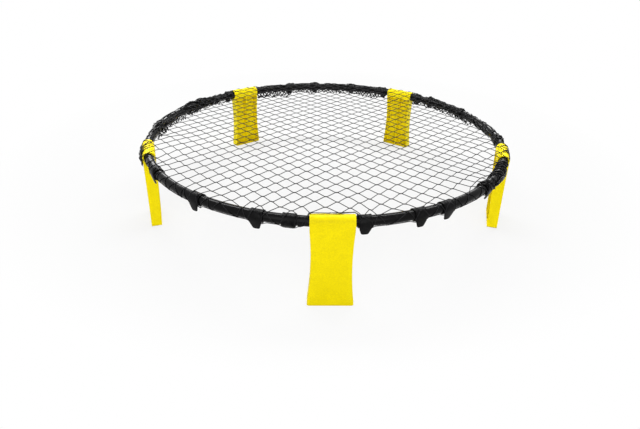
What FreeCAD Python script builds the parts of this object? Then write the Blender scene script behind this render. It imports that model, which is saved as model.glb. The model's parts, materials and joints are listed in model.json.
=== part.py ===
import FreeCAD, Part
import math
import os

import Sketcher

# Roundnet set: a ring of five bent tubes on five folding legs, with a net hooked over the ring.
# Millimetres. The origin is on the floor under the ring's centre, +Z up, and leg 0 stands at -Y.
#
# Each name is a cell of the sheet "sizes", and every sketch and feature reads it from there.
SIZES = {
    # the ring
    "leg_count": 5,
    "rim_radius": 440,          # ring centre to the tube's centre line
    "rim_height": 178,          # floor to the tube's centre line
    "tube_radius": 10,          # to the corners of its section
    "tube_sides": 12,           # flats of the section, which keep the model light
    "joint_gap": 0.3,           # between the end faces of two tubes
    "socket_wall": 2,
    "spigot_length": 26,
    "spigot_clearance": 0.3,
    # the legs
    "sleeve_length": 82,
    "sleeve_wall": 2.5,
    "pivot_clearance": 0.3,
    "leg_wall": 2.6,
    "rib_thickness": 2,
    "waist_width": 77.5,
    "foot_width": 91,
    "foot_depth": 24,
    "leg_splay": 10,            # how far the foot's outer face stands outside the sleeve's
    "foot_corner": 4,
    # the net hooks
    "collar_length": 25,
    "collar_wall": 1.7,
    "collar_clearance": 0.5,
    "shield_width": 23,
    "shield_wall": 1.4,         # how far the shield stands out of the collar
    "tongue_width": 12,
    "tongue_drop": 23,          # tube's centre line to the tongue's tip
    "tongue_inset": 4.5,        # how far the tip leans back towards the tube
    "tongue_thickness": 3,
    "tongue_corner": 3,
    "hook_gap": 1,              # least room between a hook and a leg's sleeve
    # the net
    "cell_width": 40,
    "cell_height": 37.5,
    "twine": 1.2,
    "net_clearance": 0.3,
    "net_overhang": 1.5,        # past the tube's outer side
    "net_turn": -2,             # degrees, cells against the ring
}

# Where the hooks sit on each tube: shares of the way from the sleeve where it starts to the next sleeve.
# With more tubes than rows, the rows are used again in turn.
HOOK_PLACES = [
    [0.006, 0.244, 0.386, 0.681],
    [0.085, 0.587, 0.882, 0.992],
    [0.024, 0.276, 0.557, 0.753],
    [0.006, 0.251, 0.359, 0.742],
    [0.157, 0.510, 0.814, 0.949],
]

# A bent tube lies off the straight pivot line by up to this much at the ends of a sleeve, half to each side.
TUBE_SWAY = "((sizes.rim_radius - sqrt(sizes.rim_radius^2 - (sizes.sleeve_length / 2)^2)) / 2)"
SLEEVE_BORE = f"(sizes.tube_radius + {TUBE_SWAY} + sizes.pivot_clearance)"
SLEEVE_RADIUS = f"({SLEEVE_BORE} + sizes.sleeve_wall)"
FOOT_OUTER = f"({SLEEVE_RADIUS} + sizes.leg_splay)"
COLLAR_BORE = "(sizes.tube_radius + sizes.collar_clearance)"
COLLAR_RADIUS = f"({COLLAR_BORE} + sizes.collar_wall)"
SHIELD_FACE = f"({COLLAR_RADIUS} + sizes.shield_wall)"

UP = FreeCAD.Vector(0, 0, 1)
ORIGIN = FreeCAD.Vector(0, 0, 0)
UPRIGHT_SIDE = FreeCAD.Rotation(FreeCAD.Vector(1, 0, 0), 90)          # sketch x = X, y = Z
UPRIGHT_FRONT = FreeCAD.Rotation(FreeCAD.Vector(1, 1, 1), 120)        # sketch x = Y, y = Z

doc = FreeCAD.newDocument("roundnet_set")


def make_sheet():
    """Fill the sheet of driving sizes."""
    sheet = doc.addObject("Spreadsheet::Sheet", "sizes")
    cells = dict(SIZES)
    for row, places in enumerate(HOOK_PLACES):
        for place, share in enumerate(places):
            cells[f"hook_{row}_{place}_share"] = share
    for row, (name, value) in enumerate(cells.items(), start=1):
        sheet.set(f"A{row}", name)
        sheet.set(f"B{row}", str(value))
        sheet.setAlias(f"B{row}", name)
    doc.recompute()
    return sheet


sheet = make_sheet()


def size(name):
    """The value of one cell of the sheet."""
    return float(sheet.get(name))


def radial(radius, angle):
    """Vector of a length at an angle from X, level."""
    return FreeCAD.Vector(radius * math.cos(angle), radius * math.sin(angle), 0)


def tube_sway():
    """How far the bent tube lies off the pivot line: the value of TUBE_SWAY."""
    rim, half = size("rim_radius"), size("sleeve_length") / 2
    return (rim - math.sqrt(rim ** 2 - half ** 2)) / 2


def sleeve_radius():
    """Outer radius of a leg's sleeve: the value of SLEEVE_RADIUS."""
    return size("tube_radius") + tube_sway() + size("pivot_clearance") + size("sleeve_wall")


def shield_face():
    """Radius of a hook's shield round the tube's centre line: the value of SHIELD_FACE."""
    return size("tube_radius") + size("collar_clearance") + size("collar_wall") + size("shield_wall")


def leg_turn(index):
    """Degrees from X to a leg: leg 0 is at -Y."""
    return -90 + index * 360 / size("leg_count")


def ring_placement(index):
    """Placement of the frame of leg number index at the height of the tube's centre line."""
    base = FreeCAD.Vector(0, 0, size("rim_height"))
    return FreeCAD.Placement(base, FreeCAD.Rotation(UP, leg_turn(index)))


# ---- helpers for sketches ----

def origin_plane(body, role):
    """One of a body's own origin planes."""
    return next(item for item in body.Origin.OriginFeatures if item.Role == role)


def body_sketch(body, name, role):
    """Sketch on one of the body's origin planes."""
    sketch = body.newObject("Sketcher::SketchObject", name)
    sketch.AttachmentSupport = (origin_plane(body, role), [""])
    sketch.MapMode = "FlatFace"
    return sketch


def free_sketch(name, rotation):
    """Sketch for the Part tools, in an upright plane through the origin."""
    sketch = doc.addObject("Sketcher::SketchObject", name)
    sketch.Placement = FreeCAD.Placement(ORIGIN, rotation)
    return sketch


def bind(sketch, name, constraint, expression):
    """Add a named constraint and drive it from the sheet."""
    index = sketch.addConstraint(constraint)
    sketch.renameConstraint(index, name)
    sketch.setExpression(f"Constraints.{name}", expression)


def constrain(sketch, kind, *where):
    """Add a constraint that has no size."""
    sketch.addConstraint(Sketcher.Constraint(kind, *where))


def closed_outline(sketch, points):
    """Straight lines through the points in turn, joined at their ends. Returns the first line's index."""
    first = sketch.GeometryCount
    count = len(points)
    for index, point in enumerate(points):
        sketch.addGeometry(Part.LineSegment(point, points[(index + 1) % count]))
    for index in range(count):
        constrain(sketch, "Coincident", first + index, 2, first + (index + 1) % count, 1)
    return first


def pin_point(sketch, name, where, x_expression, y_expression):
    """Hold a point of the sketch at two sizes from its origin, either of which may be None for zero."""
    point = sketch.getPoint(*where)
    for axis, value, expression in (("X", point.x, x_expression), ("Y", point.y, y_expression)):
        if expression is None:
            line = -2 if axis == "X" else -1
            constrain(sketch, "PointOnObject", where[0], where[1], line)
        else:
            rule = Sketcher.Constraint(f"Distance{axis}", -1, 1, where[0], where[1], value)
            bind(sketch, f"{name}_{axis.lower()}", rule, expression)


def pinned_outline(sketch, corners):
    """Closed outline whose corners are (x, y, x expression, y expression), with None for zero."""
    first = closed_outline(sketch, [FreeCAD.Vector(x, y, 0) for x, y, _, _ in corners])
    for index, (_, _, x_text, y_text) in enumerate(corners):
        pin_point(sketch, f"corner_{index}", (first + index, 1), x_text, y_text)


def polygon_outline(sketch, radius, radius_text):
    """The tube's many-sided outline at the ring's radius, with a flat on top."""
    sides = int(size("tube_sides"))
    centre = FreeCAD.Vector(size("rim_radius"), 0, 0)
    corners = [centre + radial(radius, (2 * index + 1) * math.pi / sides) for index in range(sides)]
    first = closed_outline(sketch, corners)
    circle = sketch.addGeometry(Part.Circle(centre, UP, radius), True)
    bind(sketch, "section_radius", Sketcher.Constraint("Radius", circle, radius), radius_text)
    constrain(sketch, "PointOnObject", circle, 3, -1)
    rule = Sketcher.Constraint("DistanceX", -1, 1, circle, 3, centre.x)
    bind(sketch, "section_centre", rule, "sizes.rim_radius")
    for index in range(sides):
        constrain(sketch, "PointOnObject", first + index, 1, circle)
    for index in range(1, sides):
        constrain(sketch, "Equal", first, first + index)
    constrain(sketch, "Vertical", first + sides - 1)


# ---- rim tubes ----

TUBE_TURN = "(360 deg / sizes.leg_count - sizes.joint_gap / sizes.rim_radius * 1 rad)"
SPIGOT_TURN = "(sizes.spigot_length / sizes.rim_radius * 1 rad)"
SOCKET_RADIUS = "sizes.tube_radius - sizes.socket_wall"


def tube_section(body, name, radius, radius_text):
    """Section of the tube, or of what fits in it, at the ring's radius in the body's XZ plane."""
    sketch = body_sketch(body, f"{body.Name}_{name}_section", "XZ_Plane")
    polygon_outline(sketch, radius, radius_text)
    return sketch


def turned(body, kind, name, section, turn_text, backwards):
    """Revolution or Groove of a section round the ring's axis."""
    feature = body.newObject(f"PartDesign::{kind}", f"{body.Name}_{name}")
    feature.Profile = section
    feature.ReferenceAxis = (origin_plane(body, "Z_Axis"), [""])
    feature.setExpression("Angle", turn_text)
    feature.Reversed = backwards
    return feature


def make_rim_tube(index):
    """One bent tube, from the middle of leg number index to the middle of the next.

    Its start carries a slimmer spigot, and its far end has the socket for the next tube's spigot.
    """
    name = f"rim_tube_{index}"
    body = doc.addObject("PartDesign::Body", name)
    body.Label = name
    outer = tube_section(body, "tube", size("tube_radius"), "sizes.tube_radius")
    doc.recompute()
    turned(body, "Revolution", "bent", outer, TUBE_TURN, False)
    socket = size("tube_radius") - size("socket_wall")
    nose_text = f"{SOCKET_RADIUS} - sizes.spigot_clearance"
    nose = tube_section(body, "spigot", socket - size("spigot_clearance"), nose_text)
    doc.recompute()
    turned(body, "Revolution", "spigot", nose, SPIGOT_TURN, True)
    mouth = tube_section(body, "socket", socket, SOCKET_RADIUS)
    mouth.AttachmentOffset = FreeCAD.Placement(ORIGIN, FreeCAD.Rotation(FreeCAD.Vector(0, 1, 0), 70))
    mouth.setExpression("AttachmentOffset.Rotation.Angle", TUBE_TURN)
    doc.recompute()
    turned(body, "Groove", "socket", mouth, f"{SPIGOT_TURN} * 1.1", True)
    body.Placement = ring_placement(index)
    return body


# ---- legs ----

def side_sketch(name, inset):
    """The leg from the side: sleeve round on top, straight flanks, level foot.

    With an inset it is the channel instead: one wall in from the outer face and above the foot, and
    open towards the ring's centre.
    """
    sketch = free_sketch(name, UPRIGHT_SIDE)
    radius = sleeve_radius()
    drop = size("rim_height")
    foot_outer = radius + size("leg_splay")
    foot_inner = foot_outer - size("foot_depth")
    if inset:
        wall = size("leg_wall")
        opening = -2 * radius
        points = [
            FreeCAD.Vector(radius - wall, 0, 0),
            FreeCAD.Vector(opening, 0, 0),
            FreeCAD.Vector(opening, -drop + wall, 0),
            FreeCAD.Vector(foot_outer - wall, -drop + wall, 0),
        ]
        closed_outline(sketch, points)
        pin_point(sketch, "top_outer", (0, 1), f"{SLEEVE_RADIUS} - sizes.leg_wall", None)
        pin_point(sketch, "top_open", (1, 1), f"-2 * {SLEEVE_RADIUS}", None)
        pin_point(sketch, "foot_open", (2, 1), f"-2 * {SLEEVE_RADIUS}", "sizes.leg_wall - sizes.rim_height")
        foot_x = f"{FOOT_OUTER} - sizes.leg_wall"
        pin_point(sketch, "foot_outer", (3, 1), foot_x, "sizes.leg_wall - sizes.rim_height")
        return sketch
    lean_out = math.atan2(foot_outer - radius, drop)
    lean_in = math.atan2(foot_inner + radius, drop)
    dome = Part.ArcOfCircle(Part.Circle(ORIGIN, UP, radius), lean_out, math.pi + lean_in)
    sketch.addGeometry(dome)
    top_in, top_out = dome.EndPoint, dome.StartPoint
    foot_in = FreeCAD.Vector(foot_inner, -drop, 0)
    foot_out = FreeCAD.Vector(foot_outer, -drop, 0)
    sketch.addGeometry(Part.LineSegment(top_in, foot_in))
    sketch.addGeometry(Part.LineSegment(foot_in, foot_out))
    sketch.addGeometry(Part.LineSegment(foot_out, top_out))
    constrain(sketch, "Coincident", 0, 3, -1, 1)
    bind(sketch, "dome_radius", Sketcher.Constraint("Radius", 0, radius), SLEEVE_RADIUS)
    constrain(sketch, "Tangent", 0, 2, 1, 1)
    constrain(sketch, "Coincident", 1, 2, 2, 1)
    constrain(sketch, "Coincident", 2, 2, 3, 1)
    constrain(sketch, "Tangent", 3, 2, 0, 1)
    pin_point(sketch, "foot_inner", (1, 2), f"{FOOT_OUTER} - sizes.foot_depth", "-sizes.rim_height")
    pin_point(sketch, "foot_outer", (2, 2), FOOT_OUTER, "-sizes.rim_height")
    return sketch


def add_flank(sketch, side, inset):
    """One flank of the leg from the front: straight beside the sleeve, waisted below, round at the foot.

    side is 1 or -1, and inset is (value, expression). Returns the first and the last curve's index.
    """
    label = "right" if side > 0 else "left"
    sign = "" if side > 0 else "-"
    inset_value, inset_text = inset
    radius = sleeve_radius()
    drop, corner = size("rim_height") - inset_value, size("foot_corner")
    widths = ("sleeve_length", "waist_width", "foot_width")
    half_top, half_waist, half_foot = (size(key) / 2 - inset_value for key in widths)
    top_x, waist_x, foot_x = (f"{sign}(sizes.{key} / 2 - {inset_text})" for key in widths)
    foot_z = f"{inset_text} - sizes.rim_height"

    top = FreeCAD.Vector(side * half_top, radius, 0)
    shoulder = FreeCAD.Vector(side * half_top, -radius, 0)
    waist = FreeCAD.Vector(side * half_waist, -size("rim_height") / 2, 0)
    ankle = FreeCAD.Vector(side * half_foot, corner - drop, 0)
    foot = FreeCAD.Vector(side * (half_foot - corner), -drop, 0)
    turn = corner * (1 - math.sqrt(0.5))
    bulge = FreeCAD.Vector(side * (half_foot - turn), turn - drop, 0)

    first = sketch.addGeometry(Part.LineSegment(top, shoulder))
    sketch.addGeometry(Part.Arc(shoulder, waist, ankle))
    last = sketch.addGeometry(Part.Arc(ankle, bulge, foot))
    mark = sketch.addGeometry(Part.Point(waist), True)
    # An arc runs anticlockwise from its start, whatever order its points were given in.
    arc_top, arc_low = (2, 1) if sketch.getPoint(first + 1, 2).isEqual(shoulder, 1e-6) else (1, 2)
    turn_top, turn_low = (2, 1) if sketch.getPoint(last, 2).isEqual(ankle, 1e-6) else (1, 2)
    constrain(sketch, "Coincident", first, 2, first + 1, arc_top)
    constrain(sketch, "Coincident", first + 1, arc_low, last, turn_top)
    constrain(sketch, "PointOnObject", mark, 1, first + 1)
    pin_point(sketch, f"{label}_top", (first, 1), top_x, SLEEVE_RADIUS)
    pin_point(sketch, f"{label}_shoulder", (first, 2), top_x, f"-{SLEEVE_RADIUS}")
    pin_point(sketch, f"{label}_waist", (mark, 1), waist_x, "-sizes.rim_height / 2")
    pin_point(sketch, f"{label}_ankle", (last, turn_top), foot_x, f"{foot_z} + sizes.foot_corner")
    pin_point(sketch, f"{label}_foot", (last, turn_low), f"{foot_x} - {sign}sizes.foot_corner", foot_z)
    rule = Sketcher.Constraint("Radius", last, corner)
    bind(sketch, f"{label}_corner", rule, "sizes.foot_corner")
    return (first, 1), (last, turn_low)


def close_gap(sketch, one, other):
    """Straight line between two curve ends, each (curve, end)."""
    line = sketch.addGeometry(Part.LineSegment(sketch.getPoint(*one), sketch.getPoint(*other)))
    constrain(sketch, "Coincident", *one, line, 1)
    constrain(sketch, "Coincident", *other, line, 2)
    return line


def front_sketch(name):
    """The leg from the front: as wide as the sleeve on top, waisted, wider at the foot."""
    sketch = free_sketch(name, UPRIGHT_FRONT)
    right_top, right_foot = add_flank(sketch, 1, (0, "0"))
    left_top, left_foot = add_flank(sketch, -1, (0, "0"))
    close_gap(sketch, right_top, left_top)
    close_gap(sketch, right_foot, left_foot)
    return sketch


def channel_sketch(name, side):
    """Half of the channel from the front, between one flank and the middle rib."""
    sketch = free_sketch(name, UPRIGHT_FRONT)
    sign = "" if side > 0 else "-"
    wall = (size("leg_wall"), "sizes.leg_wall")
    flank_top, flank_foot = add_flank(sketch, side, wall)
    rib_x = side * size("rib_thickness") / 2
    rib_text = f"{sign}sizes.rib_thickness / 2"
    rib_top = FreeCAD.Vector(rib_x, sketch.getPoint(*flank_top).y, 0)
    rib_foot = FreeCAD.Vector(rib_x, sketch.getPoint(*flank_foot).y, 0)
    rib = sketch.addGeometry(Part.LineSegment(rib_top, rib_foot))
    pin_point(sketch, "rib_top", (rib, 1), rib_text, SLEEVE_RADIUS)
    pin_point(sketch, "rib_foot", (rib, 2), rib_text, "sizes.leg_wall - sizes.rim_height")
    close_gap(sketch, flank_top, (rib, 1))
    close_gap(sketch, flank_foot, (rib, 2))
    return sketch


def extrude(name, sketch, length_text):
    """Solid of a closed sketch, equally to both sides of its plane."""
    solid = doc.addObject("Part::Extrusion", name)
    solid.Base = sketch
    solid.DirMode = "Normal"
    solid.Solid = True
    solid.Symmetric = True
    solid.setExpression("LengthFwd", length_text)
    return solid


def boolean(kind, name, base, tool):
    """Part::Cut or Part::Common of two objects."""
    result = doc.addObject(f"Part::{kind}", name)
    result.Base = base
    result.Tool = tool
    return result


def fuse(name, shapes):
    """Part::MultiFuse of several objects."""
    result = doc.addObject("Part::MultiFuse", name)
    result.Shapes = shapes
    return result


def tangent_cylinder(name, radius_text, length_text):
    """Cylinder along Y, centred on the pivot."""
    rod = doc.addObject("Part::Cylinder", name)
    rod.setExpression("Radius", radius_text)
    rod.setExpression("Height", length_text)
    rod.Placement = FreeCAD.Placement(ORIGIN, FreeCAD.Rotation(FreeCAD.Vector(1, 0, 0), 90))
    rod.setExpression("Placement.Base.y", f"({length_text}) / 2")
    return rod


def make_leg(index):
    """One moulded leg: a channel open to the inside, with a middle rib, under a sleeve for the tubes."""
    name = f"leg_{index}"
    width_text = "sizes.foot_width + sizes.sleeve_length"
    reach_text = f"2 * ({FOOT_OUTER} + sizes.foot_depth)"
    side = extrude(f"{name}_side", side_sketch(f"{name}_side_outline", False), width_text)
    front = extrude(f"{name}_front", front_sketch(f"{name}_front_outline"), reach_text)
    block = boolean("Common", f"{name}_block", side, front)
    halves = []
    for half, sign in (("right", 1), ("left", -1)):
        outline = channel_sketch(f"{name}_channel_{half}_outline", sign)
        halves.append(extrude(f"{name}_channel_{half}_front", outline, reach_text))
    hollow_side = extrude(f"{name}_channel_side", side_sketch(f"{name}_channel_outline", True), width_text)
    hollow = boolean("Common", f"{name}_channel", hollow_side, fuse(f"{name}_channel_front", halves))
    shell = boolean("Cut", f"{name}_shell", block, hollow)
    sleeve = tangent_cylinder(f"{name}_sleeve", SLEEVE_RADIUS, "sizes.sleeve_length")
    bore = tangent_cylinder(f"{name}_bore", SLEEVE_BORE, "sizes.sleeve_length + 2 * sizes.sleeve_wall")
    leg = boolean("Cut", f"{name}_moulding", fuse(f"{name}_body", [shell, sleeve]), bore)
    leg.Label = name
    axis = FreeCAD.Vector(size("rim_radius") - tube_sway(), 0, 0)
    leg.Placement = ring_placement(index).multiply(FreeCAD.Placement(axis, FreeCAD.Rotation()))
    return leg


# ---- net hooks ----

def shield_side_sketch(name):
    """The shield and its tongue from the side: round over the tube's outer side, then down and back."""
    sketch = free_sketch(name, UPRIGHT_SIDE)
    face, drop = shield_face(), size("tongue_drop")
    tip_out = face - size("tongue_inset")
    tip_in = tip_out - size("tongue_thickness")
    tip_out_text = f"{SHIELD_FACE} - sizes.tongue_inset"
    tip_in_text = f"{tip_out_text} - sizes.tongue_thickness"
    collar = face - size("shield_wall")
    corners = [(0, 0, None, None), (0, face, None, SHIELD_FACE)]
    for turn in (60, 30):
        along, up = math.cos(math.radians(turn)), math.sin(math.radians(turn))
        text = (f"{SHIELD_FACE} * cos({turn} deg)", f"{SHIELD_FACE} * sin({turn} deg)")
        corners.append((face * along, face * up, *text))
    corners += [
        (face, 0, SHIELD_FACE, None),
        (tip_out, -drop, tip_out_text, "-sizes.tongue_drop"),
        (tip_in, -drop, tip_in_text, "-sizes.tongue_drop"),
        (tip_in, -collar / 2, tip_in_text, f"-{COLLAR_RADIUS} / 2"),
    ]
    pinned_outline(sketch, corners)
    return sketch


def shield_front_sketch(name):
    """The shield from the front: a dome over the tube, full width beside it, tapered to the tongue."""
    sketch = free_sketch(name, UPRIGHT_FRONT)
    face, drop, corner = shield_face(), size("tongue_drop"), size("tongue_corner")
    half, tip = size("shield_width") / 2, size("tongue_width") / 2
    corners = [(half, 0, "sizes.shield_width / 2", None)]
    for turn in (45, 90, 135):
        along, up = math.cos(math.radians(turn)), math.sin(math.radians(turn))
        text = (f"sizes.shield_width / 2 * cos({turn} deg)", f"{SHIELD_FACE} * sin({turn} deg)")
        if turn == 90:
            text = (None, SHIELD_FACE)
        corners.append((half * along, face * up, *text))
    corners += [
        (-half, 0, "-sizes.shield_width / 2", None),
        (-tip, corner - drop, "-sizes.tongue_width / 2", "sizes.tongue_corner - sizes.tongue_drop"),
        (corner - tip, -drop, "sizes.tongue_corner - sizes.tongue_width / 2", "-sizes.tongue_drop"),
        (tip - corner, -drop, "sizes.tongue_width / 2 - sizes.tongue_corner", "-sizes.tongue_drop"),
        (tip, corner - drop, "sizes.tongue_width / 2", "sizes.tongue_corner - sizes.tongue_drop"),
    ]
    pinned_outline(sketch, corners)
    return sketch


def collar_prism(name, radius_text, length_text):
    """Prism along Y round the tube, with as many flats as the tube."""
    prism = doc.addObject("Part::Prism", name)
    prism.setExpression("Polygon", "sizes.tube_sides")
    prism.setExpression("Circumradius", radius_text)
    prism.setExpression("Height", length_text)
    half_side = 180 / size("tube_sides")
    turn = FreeCAD.Rotation(FreeCAD.Vector(1, 0, 0), 90).multiply(FreeCAD.Rotation(UP, half_side))
    prism.Placement = FreeCAD.Placement(ORIGIN, turn)
    prism.setExpression("Placement.Base.y", f"({length_text}) / 2")
    return prism


def hook_heading(tube, place):
    """Angle from a tube's first leg to one of its hooks, which keeps clear of both sleeves."""
    first = (size("sleeve_length") + size("collar_length")) / 2 + size("hook_gap")
    whole = 2 * math.pi * size("rim_radius") / size("leg_count")
    share = size(f"hook_{tube % len(HOOK_PLACES)}_{place}_share")
    return (first + share * (whole - 2 * first)) / size("rim_radius")


def make_hook(tube, place):
    """One net hook: a collar round the tube, and a shield on its outer side that ends in a tongue."""
    name = f"net_hook_{tube}_{place}"
    reach_text = f"2 * {SHIELD_FACE} + sizes.shield_wall"
    side = extrude(f"{name}_side", shield_side_sketch(f"{name}_side_outline"), "sizes.collar_length")
    front = extrude(f"{name}_front", shield_front_sketch(f"{name}_front_outline"), reach_text)
    shield = boolean("Common", f"{name}_shield", side, front)
    collar = collar_prism(f"{name}_collar", COLLAR_RADIUS, "sizes.collar_length")
    bore = collar_prism(f"{name}_bore", COLLAR_BORE, "2 * sizes.collar_length")
    hook = boolean("Cut", f"{name}_moulding", fuse(f"{name}_body", [shield, collar]), bore)
    hook.Label = name
    heading = hook_heading(tube, place)
    seat = FreeCAD.Placement(radial(size("rim_radius"), heading), FreeCAD.Rotation(UP, math.degrees(heading)))
    hook.Placement = ring_placement(tube).multiply(seat)
    return hook


# ---- net ----

def net_underside():
    """Height of the net's lower side, which lies on the sleeves and the collars."""
    return size("rim_height") + max(sleeve_radius(), shield_face()) + size("net_clearance")


def strand_layer(turn, bottom):
    """Parallel strands across the ring, turned from X in degrees, with their lower side at a height."""
    wide, high, twine = size("cell_width"), size("cell_height"), size("twine")
    pitch = wide * high / math.hypot(wide, high)
    radius = size("rim_radius") + size("tube_radius") + size("net_overhang")
    count = int(2 * radius / pitch)
    strands = []
    for index in range(count):
        across = (index - (count - 1) / 2) * pitch
        length = 2 * math.sqrt(radius ** 2 - across ** 2)
        strand = Part.makeBox(length, twine, twine)
        strand.translate(FreeCAD.Vector(-length / 2, across - twine / 2, bottom))
        strand.rotate(ORIGIN, UP, turn)
        strands.append(strand)
    return strands


def make_net():
    """The net: two layers of strands that cross in diamond cells. Strands have no form in a body."""
    lean = math.degrees(math.atan2(size("cell_height"), size("cell_width")))
    low = net_underside()
    strands = strand_layer(size("net_turn") + lean, low)
    strands += strand_layer(size("net_turn") - lean, low + size("twine"))
    net = doc.addObject("Part::Feature", "net")
    net.Shape = Part.makeCompound(strands)
    net.Label = "net"
    return net


def check_document():
    """Stop if any object of the document failed."""
    for item in doc.Objects:
        if {"Invalid", "Error"} & set(item.State):
            raise RuntimeError(f"{item.Name} failed: {item.State}")


def write_parts(parts):
    """Write each sub-part, once all of them are sound."""
    for part in parts:
        if part.Shape.isNull() or not part.Shape.isValid() or not part.Shape.Solids:
            raise RuntimeError(f"{part.Label} is not a sound solid")
    os.makedirs("parts", exist_ok=True)
    for part in parts:
        part.Shape.exportStep(f"parts/{part.Label}.step")


def main():
    """Build every sub-part, check the document and write the parts."""
    parts = []
    for index in range(int(size("leg_count"))):
        parts.append(make_rim_tube(index))
        parts.append(make_leg(index))
        for place in range(len(HOOK_PLACES[index % len(HOOK_PLACES)])):
            parts.append(make_hook(index, place))
    parts.append(make_net())
    doc.recompute()
    check_document()
    write_parts(parts)


main()
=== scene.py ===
import json
import logging
import math
from collections.abc import Callable
from dataclasses import dataclass, field
from enum import Enum

import bmesh
import bpy
import numpy as np
from mathutils import Matrix, Vector
from mathutils.geometry import delaunay_2d_cdt


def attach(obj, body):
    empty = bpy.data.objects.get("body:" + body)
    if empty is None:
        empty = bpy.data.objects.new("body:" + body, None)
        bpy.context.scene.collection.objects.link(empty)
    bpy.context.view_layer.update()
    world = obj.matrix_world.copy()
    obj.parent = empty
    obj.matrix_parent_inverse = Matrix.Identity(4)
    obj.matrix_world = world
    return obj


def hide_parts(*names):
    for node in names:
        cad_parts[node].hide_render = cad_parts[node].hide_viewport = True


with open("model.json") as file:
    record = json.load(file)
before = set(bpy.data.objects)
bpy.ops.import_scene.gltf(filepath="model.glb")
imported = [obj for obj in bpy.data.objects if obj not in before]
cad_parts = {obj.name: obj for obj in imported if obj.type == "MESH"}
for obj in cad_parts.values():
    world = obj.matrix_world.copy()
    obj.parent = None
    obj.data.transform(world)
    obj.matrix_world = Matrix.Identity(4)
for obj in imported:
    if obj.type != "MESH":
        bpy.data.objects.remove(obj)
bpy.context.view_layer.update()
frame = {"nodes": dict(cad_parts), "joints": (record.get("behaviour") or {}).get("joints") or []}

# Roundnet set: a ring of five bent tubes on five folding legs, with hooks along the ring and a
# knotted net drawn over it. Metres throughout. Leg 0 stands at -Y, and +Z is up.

MM = 0.001
SHARP_ANGLE = math.radians(38)
FULL_TURN = 2 * math.pi
ALONG = "twine_along"
Array = np.ndarray
Random = np.random.Generator
Socket = bpy.types.NodeSocket
Material = bpy.types.Material
Pair = tuple[float, float]
Place = tuple[float, float, float]
Colour = tuple[float, float, float, float]
Cord = tuple[Array, Array]

logging.basicConfig(level=logging.INFO, format="%(message)s")
log = logging.getLogger("roundnet")


# ---------------------------------------------------------------- node trees


def operator(operation: str, swapped: bool = False) -> Callable[..., "Value"]:
    """Make a method that joins two values.

    Args:
        operation: The Math node's operation.
        swapped: Whether the value that the method belongs to comes second.

    Returns:
        The method.
    """
    def join(value: "Value", other: object = 0.0) -> "Value":
        """Join a value with another or with a plain number."""
        pair = (other, value) if swapped else (value, other)
        made = value.builder.node("ShaderNodeMath", {"operation": operation}, dict(enumerate(pair)))
        return Value(value.builder, made.outputs[0])

    return join


class Value:
    """A number in a node tree. Arithmetic on it adds Math nodes."""

    def __init__(self, builder: "NodeBuilder", socket: Socket) -> None:
        """Wrap one socket of the builder's tree."""
        self.builder = builder
        self.socket = socket

    __add__ = __radd__ = operator("ADD")
    __mul__ = __rmul__ = operator("MULTIPLY")
    __sub__, __rsub__ = operator("SUBTRACT"), operator("SUBTRACT", swapped=True)
    at_most, at_least, sine = operator("MINIMUM"), operator("MAXIMUM"), operator("SINE")


class NodeBuilder:
    """Adds nodes to one tree."""

    def __init__(self, tree: bpy.types.NodeTree) -> None:
        """Start on an empty tree."""
        self.tree = tree

    def feed(self, socket: Socket, value: object) -> None:
        """Give a socket a link or a plain value.

        Args:
            socket: The input to fill.
            value: A Value, another node's output, or something that the socket can hold.
        """
        if isinstance(value, Value):
            self.tree.links.new(value.socket, socket)
        elif isinstance(value, bpy.types.NodeSocket):
            self.tree.links.new(value, socket)
        else:
            socket.default_value = value

    def node(self, kind: str, settings: dict | None = None, inputs: dict | None = None) -> bpy.types.Node:
        """Add a node.

        Args:
            kind: Blender's name of the node's type.
            settings: Properties, which are set first. "stops" fills a colour ramp.
            inputs: Socket name or number to value or link.

        Returns:
            The new node.
        """
        made = self.tree.nodes.new(kind)
        for name, value in (settings or {}).items():
            if name == "stops":
                self._fill_ramp(made.color_ramp, value)
            else:
                setattr(made, name, value)
        for key, value in (inputs or {}).items():
            self.feed(made.inputs[key], value)
        return made

    @staticmethod
    def _fill_ramp(ramp: bpy.types.ColorRamp, stops: list[Pair]) -> None:
        """Set a grey ramp's stops.

        Args:
            ramp: The ramp.
            stops: (place, brightness) of each.
        """
        while len(ramp.elements) < len(stops):
            ramp.elements.new(0.5)
        for element, (place, bright) in zip(ramp.elements, stops):
            element.position = place
            element.color = (bright, bright, bright, 1)


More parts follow.
